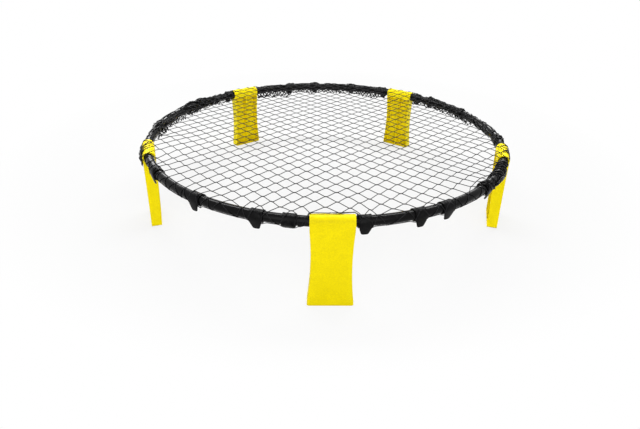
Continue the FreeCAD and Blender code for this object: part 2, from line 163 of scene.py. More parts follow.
class MaterialBuilder(NodeBuilder):
    """A material round one Principled shader."""

    def __init__(self, name: str, fixed: dict[str, float]) -> None:
        """Start a material.

        Args:
            name: The material's name.
            fixed: Values that are the same all over, set on the shader's own sockets.
        """
        self.material = bpy.data.materials.new(name)
        self.material.use_nodes = True
        super().__init__(self.material.node_tree)
        self.tree.nodes.clear()
        self.shader = self.node("ShaderNodeBsdfPrincipled", inputs=fixed)
        self.output = self.node("ShaderNodeOutputMaterial", inputs={"Surface": self.shader.outputs["BSDF"]})
        self.place = self.node("ShaderNodeTexCoord").outputs["Object"]

    def noise(self, size: float, detail: float = 2.0) -> Value:
        """Cloudy noise over the piece.

        Args:
            size: Width of its largest blots in metres.
            detail: How many finer layers it has.

        Returns:
            The noise, about 0.5 on average.
        """
        inputs = {"Vector": self.place, "Scale": 1 / size, "Detail": detail}
        return Value(self, self.node("ShaderNodeTexNoise", inputs=inputs).outputs[0])

    def ridges(self, pitch: float, bend: Value) -> Value:
        """Waves over the length that is stored along each strand.

        Args:
            pitch: Length of a wave in metres.
            bend: What pushes the waves out of line, in radians.

        Returns:
            The waves, from 0 to 1.
        """
        stored = self.node("ShaderNodeAttribute", {"attribute_name": ALONG})
        along = Value(self, stored.outputs["Fac"])
        return (along * (FULL_TURN / pitch) + bend).sine() * 0.5 + 0.5

    def contrast(self, value: Value, low: float, high: float) -> Value:
        """Stretch the part of a value between low and high to 0 to 1."""
        made = self.node("ShaderNodeValToRGB", {"stops": [(low, 0.0), (high, 1.0)]}, {0: value})
        return Value(self, made.outputs[0])

    def height(self) -> Value:
        """Height above the floor in metres."""
        split = self.node("ShaderNodeSeparateXYZ", inputs={0: self.place})
        return Value(self, split.outputs["Z"])

    def blend(self, factor: Value, first: object, second: object) -> Socket:
        """Mix of two colours.

        Args:
            factor: 0 for the first colour, 1 for the second.
            first: A colour or a colour socket.
            second: A colour or a colour socket.

        Returns:
            The mixed colour's socket.
        """
        made = self.node("ShaderNodeMix", {"data_type": "RGBA"}, {0: factor, 6: first, 7: second})
        return made.outputs[2]

    def dress(self, colour: object, roughness: Value, relief: Value, depth: float) -> Material:
        """Join the patterns to the shader.

        Args:
            colour: Base colour socket.
            roughness: Roughness over the surface.
            relief: Height pattern for the bump.
            depth: Depth of the bump in metres.

        Returns:
            The finished material.
        """
        bump = self.node("ShaderNodeBump", inputs={"Height": relief, "Strength": 1.0, "Distance": depth})
        self.feed(self.shader.inputs["Base Color"], colour)
        self.feed(self.shader.inputs["Roughness"], roughness)
        self.feed(self.shader.inputs["Normal"], bump.outputs[0])
        return self.material


class GeometryBuilder(NodeBuilder):
    """A Geometry Nodes tree with named inputs."""

    def __init__(self, name: str) -> None:
        """Start a tree that takes and gives a geometry.

        Args:
            name: The tree's name.
        """
        super().__init__(bpy.data.node_groups.new(name, "GeometryNodeTree"))
        face = self.tree.interface
        face.new_socket(name="Geometry", in_out="INPUT", socket_type="NodeSocketGeometry")
        face.new_socket(name="Geometry", in_out="OUTPUT", socket_type="NodeSocketGeometry")
        self.identifiers: dict[str, str] = {}
        self.source = self.node("NodeGroupInput")
        self.result = self.node("NodeGroupOutput")

    @property
    def geometry(self) -> Socket:
        """The geometry that comes in."""
        return self.source.outputs["Geometry"]

    def size(self, name: str, kind: str = "NodeSocketFloat") -> Socket:
        """Declare a named input.

        Args:
            name: The input's name.
            kind: Blender's name of its type.

        Returns:
            Its socket inside the tree.
        """
        item = self.tree.interface.new_socket(name=name, in_out="INPUT", socket_type=kind)
        self.identifiers[name] = item.identifier
        return self.source.outputs[name]

    def vector(self, **parts: object) -> Socket:
        """Vector from its parts X, Y and Z."""
        return self.node("ShaderNodeCombineXYZ", inputs=parts).outputs[0]

    def move(self, geometry: Socket, **how: object) -> Socket:
        """The geometry after a Translation or a Rotation."""
        return self.node("GeometryNodeTransform", inputs={"Geometry": geometry, **how}).outputs[0]

    def mark(self, name: str, kind: str) -> Socket:
        """A mark that the points of the geometry carry."""
        return self.node("GeometryNodeInputNamedAttribute", {"data_type": kind}, {"Name": name}).outputs[0]

    def sweep(
        self, curve: Socket, radius: object, sides: object, **more: object,
    ) -> Socket:
        """Round cord along a curve.

        Args:
            curve: The curve.
            radius: The cord's radius.
            sides: Sides of its section.
            more: Other inputs of the sweep, by name.

        Returns:
            The cord, closed at its ends.
        """
        circle = self.node(
            "GeometryNodeCurvePrimitiveCircle", {"mode": "RADIUS"}, {"Resolution": sides, "Radius": radius},
        )
        inputs = {"Curve": curve, "Profile Curve": circle.outputs[0], "Fill Caps": True, **more}
        return self.node("GeometryNodeCurveToMesh", inputs=inputs).outputs[0]

    def close(self, geometry: Socket) -> None:
        """End the tree: real instances, smooth faces, and the material from its own input.

        Args:
            geometry: What the tree has made.
        """
        real = self.node("GeometryNodeRealizeInstances", inputs={0: geometry})
        smooth = self.node("GeometryNodeSetShadeSmooth", inputs={0: real.outputs[0]})
        finish = self.size("Finish", "NodeSocketMaterial")
        inputs = {"Geometry": smooth.outputs[0], "Material": finish}
        painted = self.node("GeometryNodeSetMaterial", inputs=inputs)
        self.feed(self.result.inputs[0], painted.outputs[0])

    def run(self, piece: bpy.types.Object, values: dict[str, object]) -> None:
        """Run the tree on a piece and keep the result as its plain mesh.

        Args:
            piece: A mesh object that is linked to the scene.
            values: Input name to value.
        """
        modifier = piece.modifiers.new("making", "NODES")
        modifier.node_group = self.tree
        for name, value in values.items():
            modifier[self.identifiers[name]] = value
        graph = bpy.context.evaluated_depsgraph_get()
        made = bpy.data.meshes.new_from_object(piece.evaluated_get(graph))
        piece.modifiers.remove(modifier)
        piece.data = made
        made.name = piece.name


# ---------------------------------------------------------------- finishes


@dataclass(frozen=True)
class MouldedYellow:
    """Yellow plastic of the legs: satin, finely mottled, darker in patches within a few millimetres of the
    floor.
    """

    bright: Colour = (0.84, 0.69, 0.001, 1)
    deep: Colour = (0.73, 0.59, 0.001, 1)
    low_tone: Colour = (0.42, 0.34, 0.03, 1)
    mottle: float = 2.6 * MM
    grain: float = 0.7 * MM
    low_tone_height: float = 5 * MM

    def material(self) -> Material:
        """Build the material.

        Returns:
            The material.
        """
        made = MaterialBuilder("moulded_yellow", {"Specular IOR Level": 0.06})
        blots = made.noise(self.mottle, 3.0)
        clouds = made.noise(24 * MM)
        grain = made.noise(self.grain)
        mottled = made.contrast(blots * 0.72 + clouds * 0.28, 0.36, 0.64)
        colour = made.blend(mottled, self.deep, self.bright)
        # darker yellow in patches over the lowest few millimetres above the floor, fading out upwards
        low = (1 - made.height() * (1 / self.low_tone_height)).at_least(0.0)
        low_darkening = low * made.contrast(clouds, 0.4, 0.7) * 0.45
        colour = made.blend(low_darkening, colour, self.low_tone)
        roughness = blots * 0.14 + grain * 0.08 + 0.36
        return made.dress(colour, roughness, grain * 0.7 + blots * 0.5, 0.22 * MM)


@dataclass(frozen=True)
class SatinBlack:
    """Black plastic of the ring's tubes: satin, with faint long scuffs and grey rubbed spots."""

    dark: Colour = (0.0028, 0.0028, 0.003, 1)
    rubbed: Colour = (0.015, 0.015, 0.0155, 1)

    def material(self) -> Material:
        """Build the material.

        Returns:
            The material.
        """
        made = MaterialBuilder("satin_black", {"Specular IOR Level": 0.085})
        skin = made.noise(0.9 * MM, 3.0)
        scuffs = made.contrast(made.noise(9 * MM, 5.0), 0.57, 0.80)
        colour = made.blend(scuffs * 0.6, self.dark, self.rubbed)
        roughness = scuffs * 0.14 + skin * 0.06 + 0.16
        return made.dress(colour, roughness, skin, 0.012 * MM)


@dataclass(frozen=True)
class GrainedBlack:
    """Black plastic of the hooks: duller than the tubes, with a moulded grain."""

    dark: Colour = (0.003, 0.003, 0.0032, 1)
    worn: Colour = (0.010, 0.010, 0.0104, 1)

    def material(self) -> Material:
        """Build the material.

        Returns:
            The material.
        """
        made = MaterialBuilder("grained_black", {"Specular IOR Level": 0.065})
        grain = made.noise(0.6 * MM)
        wear = made.contrast(made.noise(6 * MM, 4.0), 0.5, 0.75)
        colour = made.blend(wear * 0.7, self.dark, self.worn)
        roughness = grain * 0.12 + wear * 0.1 + 0.26
        return made.dress(colour, roughness, grain, 0.16 * MM)


@dataclass(frozen=True)
class DarkTwine:
    """Dark grey twine of the net: matt, with the ridges of its laid fibres."""

    dark: Colour = (0.005, 0.005, 0.0055, 1)
    pale: Colour = (0.028, 0.028, 0.03, 1)
    lay: float = 2.4 * MM

    def material(self) -> Material:
        """Build the material. The ridges follow the length stored along each strand.

        Returns:
            The material.
        """
        made = MaterialBuilder("dark_twine", {"Specular IOR Level": 0.1})
        fibres = made.noise(0.5 * MM, 3.0)
        ridges = made.ridges(self.lay, fibres * 3.0)
        colour = made.blend(made.contrast(fibres * 0.5 + ridges * 0.5, 0.35, 0.9), self.dark, self.pale)
        roughness = fibres * 0.2 + 0.58
        return made.dress(colour, roughness, ridges + fibres, 0.25 * MM)


@dataclass(frozen=True)
class PressedNet:
    """Net that is drawn together into cords: near black, with a slight sheen over its crossing strands."""

    dark: Colour = (0.0022, 0.0022, 0.0024, 1)
    pale: Colour = (0.008, 0.008, 0.0084, 1)
    pitch: float = 5.5 * MM

    def material(self) -> Material:
        """Build the material. The strands cross the length stored along each cord.

        Returns:
            The material.
        """
        made = MaterialBuilder("pressed_net", {"Specular IOR Level": 0.075})
        folds = made.noise(4 * MM, 3.0)
        fibres = made.noise(0.8 * MM)
        ridges = made.ridges(self.pitch, folds * 9.0)
        colour = made.blend(made.contrast(ridges * 0.6 + fibres * 0.4, 0.4, 0.95), self.dark, self.pale)
        roughness = fibres * 0.1 + folds * 0.14 + 0.12
        return made.dress(colour, roughness, ridges * 0.5 + folds + fibres * 0.2, 0.05 * MM)


@dataclass(frozen=True)
class StudioWhite:
    """White floor and surroundings: white to the eye and in gloss away from the object, glowing a painted
    shadow grey near it, with the object's own soft shadow.
    """

    paint: Colour = (0.78, 0.78, 0.78, 1)
    # painted shadow: grey that the floor glows with near the object, in place of white
    painted_shadow_grey: Colour = (0.88, 0.88, 0.88, 1)
    white: Colour = (1, 1, 1, 1)
    plain: float = 0.82
    middle: Place = (0, 0.42, 0)
    near: float = 0.55
    far: float = 1.05
    surround: float = 0.28

    @staticmethod
    def _seen(builder: NodeBuilder) -> Value:
        """Tell the rays that see the background itself, in the eye, in gloss or through glass.

        Args:
            builder: The tree's builder.

        Returns:
            1 for such rays, 0 for the rest.
        """
        path = builder.node("ShaderNodeLightPath")
        rays = ("Is Camera Ray", "Is Glossy Ray", "Is Transmission Ray")
        eye, gloss, glass = (Value(builder, path.outputs[ray]) for ray in rays)
        return eye.at_least(gloss).at_least(glass)

    def floor_material(self) -> Material:
        """Build the floor's material: less of it is plain near the object, where the shadow falls, and
        there its glow is a painted shadow grey.

        Returns:
            The material.
        """
        made = MaterialBuilder(
            "studio_floor", {"Specular IOR Level": 0.0, "Roughness": 1.0, "Base Color": self.paint},
        )
        ends = {0: made.place, 1: self.middle}
        apart = made.node("ShaderNodeVectorMath", {"operation": "DISTANCE"}, ends)
        distance = Value(made, apart.outputs["Value"])
        away = ((distance - self.near) * (1 / (self.far - self.near))).at_least(0.0).at_most(1.0)
        # painted shadow: the glow goes from painted grey near the object to white away from it
        colour = made.blend(away, self.painted_shadow_grey, self.white)
        glow = made.node("ShaderNodeEmission", inputs={"Color": colour, "Strength": 1.0})
        share = self._seen(made) * (away * (1 - self.plain) + self.plain)
        inputs = {0: share, 1: made.shader.outputs[0], 2: glow.outputs[0]}
        mixed = made.node("ShaderNodeMixShader", inputs=inputs)
        made.feed(made.output.inputs["Surface"], mixed.outputs[0])
        return made.material

    def world(self) -> bpy.types.World:
        """Build the surroundings: white where they are seen, and a mild even light on the object.

        Returns:
            The surroundings.
        """
        world = bpy.data.worlds.new("studio_surroundings")
        world.use_nodes = True
        made = NodeBuilder(world.node_tree)
        made.tree.nodes.clear()
        strength = self._seen(made) * (1 - self.surround) + self.surround
        light = made.node("ShaderNodeBackground", inputs={"Color": self.white, "Strength": strength})
        made.node("ShaderNodeOutputWorld", inputs={"Surface": light.outputs[0]})
        return world


# ---------------------------------------------------------------- mesh helpers


class Shells:
    """Collects closed shells and makes one mesh of them."""

    def __init__(self) -> None:
        """Start empty."""
        self.points: list[Array] = []
        self.faces: list[tuple[int, ...]] = []
        self.count = 0

    def _add(self, rings: list[Array]) -> int:
        """Add the points of some rings.

        Args:
            rings: The rings.

        Returns:
            Number of their first point.
        """
        start = self.count
        self.points.extend(rings)
        self.count += sum(len(ring) for ring in rings)
        return start

    def _band(self, base: int, ahead: int, sides: int) -> None:
        """Add the faces between two rings.

        Args:
            base: Number of the first point of one ring.
            ahead: The same of the other.
            sides: Points in each ring.
        """
        for side in range(sides):
            after = (side + 1) % sides
            self.faces.append((base + side, base + after, ahead + after, ahead + side))

    def loft(self, rings: list[Array], tiled: bool = False) -> None:
        """Add a shell through rings of points, closed at both ends.

        Args:
            rings: Rings with the same number of points, in order.
            tiled: Whether the first end isn't flat and gets small triangles, laid out from above.
        """
        sides = len(rings[0])
        start = self._add(rings)
        for base in range(start, self.count - sides, sides):
            self._band(base, base + sides, sides)
        if tiled:
            flat = [Vector(point[:2]) for point in rings[0]]
            _, _, tiles, origins, _, _ = delaunay_2d_cdt(flat, [], [list(range(sides))], 1, 1e-9)
            self.faces.extend(tuple(start + origins[corner][0] for corner in tile) for tile in tiles)
        else:
            self.faces.append(tuple(range(start, start + sides)))
        self.faces.append(tuple(range(self.count - 1, self.count - sides - 1, -1)))

    def spin(self, wall: Array, laps: int) -> None:
        """Add the shell that a wall sweeps once round the y axis.

        Args:
            wall: Outline of the wall, as (place along the axis, radius).
            laps: How many times the outline is laid down.
        """
        along, radius = wall.T
        rings = [
            np.column_stack([radius * math.cos(turn), along, radius * math.sin(turn)])
            for turn in np.linspace(0, FULL_TURN, laps, endpoint=False)
        ]
        sides = len(wall)
        start = self._add(rings)
        for lap in range(laps):
            self._band(start + lap * sides, start + (lap + 1) % laps * sides, sides)

    def mesh(self, name: str) -> bpy.types.Mesh:
        """Make the mesh, with its faces outwards and its real edges sharp.

        Args:
            name: The mesh's name.

        Returns:
            The mesh.
        """
        made = bpy.data.meshes.new(name)
        made.from_pydata(np.concatenate(self.points).tolist(), [], self.faces)
        work = bmesh.new()
        work.from_mesh(made)
        bmesh.ops.recalc_face_normals(work, faces=work.faces)
        work.to_mesh(made)
        work.free()
        made.shade_smooth()
        made.set_sharp_from_angle(angle=SHARP_ANGLE)
        return made


def rounded(corners: list[Place], steps: int = 3) -> Array:
    """Round the corners of a flat outline.

    Args:
        corners: (x, y, rounding) of each corner in turn.
        steps: Spans that each corner is divided into.

    Returns:
        The outline's points, as many for each corner.
    """
    points = []
    for index, (x, y, radius) in enumerate(corners):
        corner = np.array((x, y))
        before = np.array(corners[index - 1][:2]) - corner
        after = np.array(corners[(index + 1) % len(corners)][:2]) - corner
        start = corner + before / np.linalg.norm(before) * radius
        end = corner + after / np.linalg.norm(after) * radius
        for step in range(steps + 1):
            share = step / steps
            points.append((1 - share) ** 2 * start + 2 * share * (1 - share) * corner + share**2 * end)
    return np.array(points)


def add_piece(name: str, mesh: bpy.types.Mesh) -> bpy.types.Object:
    """Link a mesh to the scene as a piece at the origin.

    Args:
        name: The piece's name.
        mesh: Its shape.

    Returns:
        The piece.
    """
    piece = bpy.data.objects.new(name, mesh)
    bpy.context.scene.collection.objects.link(piece)
    return piece


def smoothstep(low: float, high: float, value: Array) -> Array:
    """0 at low and 1 at high, eased at both ends. low may be above high."""
    share = np.clip((value - low) / (high - low), 0, 1)
    return share * share * (3 - 2 * share)


def around(radius: Array, heading: Array | float, height: Array | None = None) -> Array:
    """Points at a radius and a heading round the ring's middle, laid flat where no height is given."""
    parts = [radius * np.cos(heading), radius * np.sin(heading)]
    return np.stack(parts if height is None else [*parts, height], -1)


def polar(points: Array) -> tuple[Array, Array]:
    """Radius and heading of points round the ring's middle."""
    return np.hypot(points[..., 0], points[..., 1]), np.arctan2(points[..., 1], points[..., 0])


def wrapped(angle: Array) -> Array:
    """The angle within half a turn to either side."""
    return (angle + math.pi) % FULL_TURN - math.pi


def tapered(shares: Array, least: float) -> Array:
    """Thickness along a cord that thins out to both ends, as a share of its middle's."""
    return np.maximum(np.sin(math.pi * shares), least) ** 0.4


def report(piece: bpy.types.Object) -> None:
    """Log a finished piece."""
    log.info("%s: %d faces", piece.name, len(piece.data.polygons))


# ---------------------------------------------------------------- the ring's own places


@dataclass
class RingLayout:
    """Where things are on the ring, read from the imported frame."""

    rim_radius: float = 440 * MM
    rim_height: float = field(init=False)
    pivots: list[Vector] = field(init=False)
    hook_names: list[str] = field(init=False)
    hook_headings: Array = field(init=False)
    leg_headings: Array = field(init=False)

    def __post_init__(self) -> None:
        """Read the joints for the legs, and the hooks' nodes for the hooks."""
        self.pivots = [Vector(joint["pos_m"]) for joint in frame["joints"]]
        self.rim_height = self.pivots[0].z
        self.leg_headings = np.array([math.atan2(pivot.y, pivot.x) for pivot in self.pivots])
        self.hook_names = sorted(name for name in frame["nodes"] if name.startswith("net_hook"))
        self.hook_headings = np.array([self._heading(name) for name in self.hook_names])

    @staticmethod
    def _heading(node: str) -> float:
        """Find the heading of a node's middle, from its extent across that heading.

        Args:
            node: The node's name.

        Returns:
            Its angle from +X.
        """
        points = np.array([vertex.co for vertex in frame["nodes"][node].data.vertices])
        turns = polar(points)[1]
        middle = math.atan2(np.sin(turns).mean(), np.cos(turns).mean())
        spread = wrapped(turns - middle)
        return middle + (spread.min() + spread.max()) / 2

    def nearest(self, heading: Array, places: Array) -> tuple[Array, Array]:
        """Nearest of some places round the ring.

        Args:
            heading: Angles to look from.
            places: Headings of the places.

        Returns:
            Distance past the nearest place along the ring, and that place's number.
        """
        gaps = wrapped(np.asarray(heading)[..., None] - places)
        which = np.abs(gaps).argmin(-1)
        return np.take_along_axis(gaps, which[..., None], -1)[..., 0] * self.rim_radius, which

    def past_leg(self, heading: Array) -> Array:
        """Distance past the nearest leg along the ring."""
        return self.nearest(heading, self.leg_headings)[0]

    def past_hook(self, heading: Array) -> Array:
        """Distance past the nearest hook along the ring."""
        return self.nearest(heading, self.hook_headings)[0]

    def seat(self, heading: float, radius: float) -> Matrix:
        """Frame at the tube's height: x outwards, y along the ring, z up."""
        base = Vector((radius * math.cos(heading), radius * math.sin(heading), self.rim_height))
        return Matrix.Translation(base) @ Matrix.Rotation(heading, 4, "Z")


# ---------------------------------------------------------------- ring tubes


@dataclass
class RimTubes:
    """The five bent tubes, each with a spigot at its start and a socket at its end."""

    layout: RingLayout
    radius: float = 10 * MM
    wall: float = 2 * MM
    spigot_length: float = 26 * MM
    spigot_play: float = 0.3 * MM
    joint_gap: float = 0.3 * MM
    edge: float = 0.5 * MM
    sides: int = 44
    step: float = math.radians(1.5)

    def _stations(self) -> list[Pair]:
        """Stations along the tube's outside and into its socket.

        Returns:
            (angle from the tube's start, radius of the section) of each.
        """
        rim = self.layout.rim_radius
        end = FULL_TURN / len(self.layout.leg_headings) - self.joint_gap / rim
        bore = self.radius - self.wall
        nose = bore - self.spigot_play
        edge = self.edge / rim
        spigot = self.spigot_length / rim
        count = round(end / self.step)
        run = [(edge + (end - 2 * edge) * index / count, self.radius) for index in range(count + 1)]
        rounded_end = self.radius - self.edge
        start = [(-spigot, nose - self.edge), (edge - spigot, nose), (0.0, nose), (0.0, rounded_end)]
        mouth = [(end, rounded_end), (end, bore), (end - 1.1 * spigot, bore)]
        return start + run + mouth

    def _mesh(self, name: str, heading: float) -> bpy.types.Mesh:
        """One tube as a closed shell.

        Args:
            name: The mesh's name.
            heading: Where the tube starts.

        Returns:
            The mesh.
        """
        turns = np.linspace(0, FULL_TURN, self.sides, endpoint=False)
        rings = []
        for along, radius in self._stations():
            reach = self.layout.rim_radius + radius * np.cos(turns)
            rings.append(around(reach, heading + along, self.layout.rim_height + radius * np.sin(turns)))
        shells = Shells()
        shells.loft(rings)
        return shells.mesh(name)

    def build(self, finish: Material) -> None:
        """Build the tubes in place of the frame's.

        Args:
            finish: Their material.
        """
        for index, heading in enumerate(self.layout.leg_headings):
            name = f"ring_tube_{index}"
            piece = add_piece(name, self._mesh(name, heading))
            piece.data.materials.append(finish)
            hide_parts(f"rim_tube_{index}")
            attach(piece, "ring")
            report(piece)


# ---------------------------------------------------------------- legs


@dataclass
class FoldingLegs:
    """The five moulded legs: a sleeve for the tubes over a channel that is open inwards."""

    layout: RingLayout
    sleeve_length: float = 82 * MM
    sleeve_radius: float = 13.757 * MM
    bore: float = 11.257 * MM
    drop: float = 178 * MM
    splay: float = 10 * MM
    foot_depth: float = 24 * MM
    foot_width: float = 91 * MM
    waist_width: float = 77.5 * MM
    foot_corner: float = 4 * MM
    wall: float = 2.6 * MM
    rib: float = 2.0 * MM
    edge: float = 1.5 * MM
    small_edge: float = 0.9 * MM
    overlap: float = 1.2 * MM
    flange_spans: int = 10
    segments: int = 64
    foot_steps: tuple[Pair, ...] = (
        (0.0, 0.3 * MM), (0.0, 0.0), (0.35, 0.0), (0.7, 0.0), (0.9, 0.25 * MM), (1.0, 0.7 * MM),
    )

    def __post_init__(self) -> None:
        """Find where the straight flanks leave the sleeve."""
        self.outer_foot = self.sleeve_radius + self.splay
        self.inner_foot = self.outer_foot - self.foot_depth
        self.outer_top = self._tangent(self.outer_foot, 1)
        self.inner_top = self._tangent(self.inner_foot, -1)

    def _tangent(self, foot: float, side: int) -> Pair:
        """Point of the sleeve's circle where the line from a foot's corner touches it.

        Args:
            foot: Place outwards of the corner.
            side: 1 for the outer flank, -1 for the inner one.

        Returns:
            The point, outwards and up from the pivot.
        """
        distance = math.hypot(foot, self.drop)
        angle = math.atan2(-self.drop, foot) + side * math.acos(self.sleeve_radius / distance)
        return self.sleeve_radius * math.cos(angle), self.sleeve_radius * math.sin(angle)

    def _flank(self, top: Pair, foot: float, height: float) -> float:
        """Distance outwards of a straight flank at a height."""
        share = (top[1] - height) / (top[1] + self.drop)
        return top[0] + (foot - top[0]) * share

    def _half_width(self, height: float) -> float:
        """Half the leg's width at a height below the pivot.

        Args:
            height: Height from the pivot.

        Returns:
            Half the width there.
        """
        top, ankle = -self.sleeve_radius, self.foot_corner - self.drop
        halves = (self.sleeve_length / 2, self.waist_width / 2, self.foot_width / 2)
        if height >= top:
            return halves[0]
        if height <= ankle:
            under = min(ankle - height, self.foot_corner)
            return halves[2] - self.foot_corner + math.sqrt(self.foot_corner**2 - under**2)
        heights = (top, -self.drop / 2, ankle)
        total = 0.0
        for index, value in enumerate(halves):
            others = [heights[other] for other in range(3) if other != index]
            weight = (height - others[0]) * (height - others[1])
            total += value * weight / ((heights[index] - others[0]) * (heights[index] - others[1]))
        return total

    def _channel(self, height: float, inset: float = 0.0) -> Array:
        """Section of the channel with its two flanges and middle rib at a height.

        Args:
            height: Height from the pivot.
            inset: How far the outline is drawn in.

        Returns:
            Its outline, outwards and along the ring.
        """
        outer = self._flank(self.outer_top, self.outer_foot, height) - inset
        inner = self._flank(self.inner_top, self.inner_foot, height) + inset
        half = self._half_width(height) - inset
        web, lip, fin = outer - self.wall, half - self.wall, self.rib / 2
        big, small, tip = self.edge, self.small_edge, self.rib * 0.42
        corners = [
            (outer, -half, big), (outer, half, big), (inner, half, small), (inner, lip, small),
            (web, lip, small), (web, fin, small), (inner, fin, tip), (inner, -fin, tip),
            (web, -fin, small), (web, -lip, small), (inner, -lip, small), (inner, -half, small),
        ]
        turns = np.split(rounded(corners), len(corners))
        shares = np.linspace(0, 1, self.flange_spans + 1)[1:-1, None]
        points = []
        for index, turn in enumerate(turns):
            points.append(turn)
            if index % 2:  # every other side runs in or out along a flange or the rib
                ahead = turns[(index + 1) % len(turns)][0]
                points.append(turn[-1] + (ahead - turn[-1]) * shares)
        return np.concatenate(points)

    def _channel_top(self, reach: float) -> float:
        """Height where the channel ends inside the sleeve's wall.

        Args:
            reach: Place outwards of a point of the section.

        Returns:
            The height from the pivot.
        """
        buried = self.sleeve_radius - self.overlap
        if abs(reach) < buried:
            return -math.sqrt(buried**2 - reach**2)
        return self.outer_top[1] * 0.6 if reach > 0 else self.inner_top[1]

    def _channel_rings(self) -> list[Array]:
        """Rings of the channel from the sleeve down into the foot plate.

        Returns:
            The rings in order.
        """
        heights = np.full(len(self._channel(0.0)), -self.sleeve_radius / 2)
        for _ in range(3):
            reaches = [self._channel(height)[index][0] for index, height in enumerate(heights)]
            heights = np.array([self._channel_top(reach) for reach in reaches])
        foot_top = self.wall - self.drop
        shares = np.concatenate([[0, 0.012, 0.03, 0.06], np.linspace(0.1, 1, 22)])
        rings = []
        for share in shares:
            level = heights + (foot_top - 0.2 * MM - heights) * share
            inset = 0.08 * MM if share in (0, 1) else 0.0
            ring = [(*self._channel(height, inset)[index], height) for index, height in enumerate(level)]
            rings.append(np.array(ring))
        return rings

    def _foot_rings(self) -> list[Array]:
        """Rings of the foot plate, from its upper side to the floor.

        Returns:
            The rings in order.
        """
        top = self.wall - self.drop
        rings = []
        for share, inset in self.foot_steps:
            height = top - self.wall * share
            outer = self._flank(self.outer_top, self.outer_foot, height) - inset
            inner = self._flank(self.inner_top, self.inner_foot, height) + inset
            half = self._half_width(height) - inset
            corners = [(outer, -half), (outer, half), (inner, half), (inner, -half)]
            outline = rounded([(x, y, self.edge) for x, y in corners], 4)
            rings.append(np.column_stack([outline, np.full(len(outline), height)]))
        return rings

    def _sleeve_wall(self) -> Array:
        """Outline of the sleeve's wall.

        Returns:
            (place along the pivot, radius) of each point.
        """
        half, soft = self.sleeve_length / 2, 0.7 * MM
        return rounded([
            (-half, self.bore, soft), (half, self.bore, soft),
            (half, self.sleeve_radius, soft), (-half, self.sleeve_radius, soft),
        ], 4)

    def _mould(self) -> bpy.types.Mesh:
        """One leg about its pivot, x outwards.

        Returns:
            The leg's mesh.
        """
        shells = Shells()
        shells.spin(self._sleeve_wall(), self.segments)
        shells.loft(self._channel_rings(), tiled=True)
        shells.loft(self._foot_rings())
        return shells.mesh("leg_mould")

    def build(self, finish: Material) -> None:
        """Build the legs in place of the frame's, each on its own body.

        Args:
            finish: Their material.
        """
        mould = self._mould()
        for index, pivot in enumerate(self.layout.pivots):
            mesh = mould.copy()
            mesh.name = f"folding_leg_{index}"
            mesh.transform(self.layout.seat(self.layout.leg_headings[index], pivot.xy.length))
            mesh.materials.append(finish)
            piece = add_piece(f"folding_leg_{index}", mesh)
            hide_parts(f"leg_{index}")
            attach(piece, f"leg_{index}")
            report(piece)
        bpy.data.meshes.remove(mould)


# ---------------------------------------------------------------- net hooks


class HookTurn(Enum):
    """How a hook sits on the tube, as its turn about the tube in degrees."""

    UPRIGHT = 0.0
    LEANING_OUT = -7.0
    LEANING_IN = 6.0
    SLIPPED_UNDER = 64.0


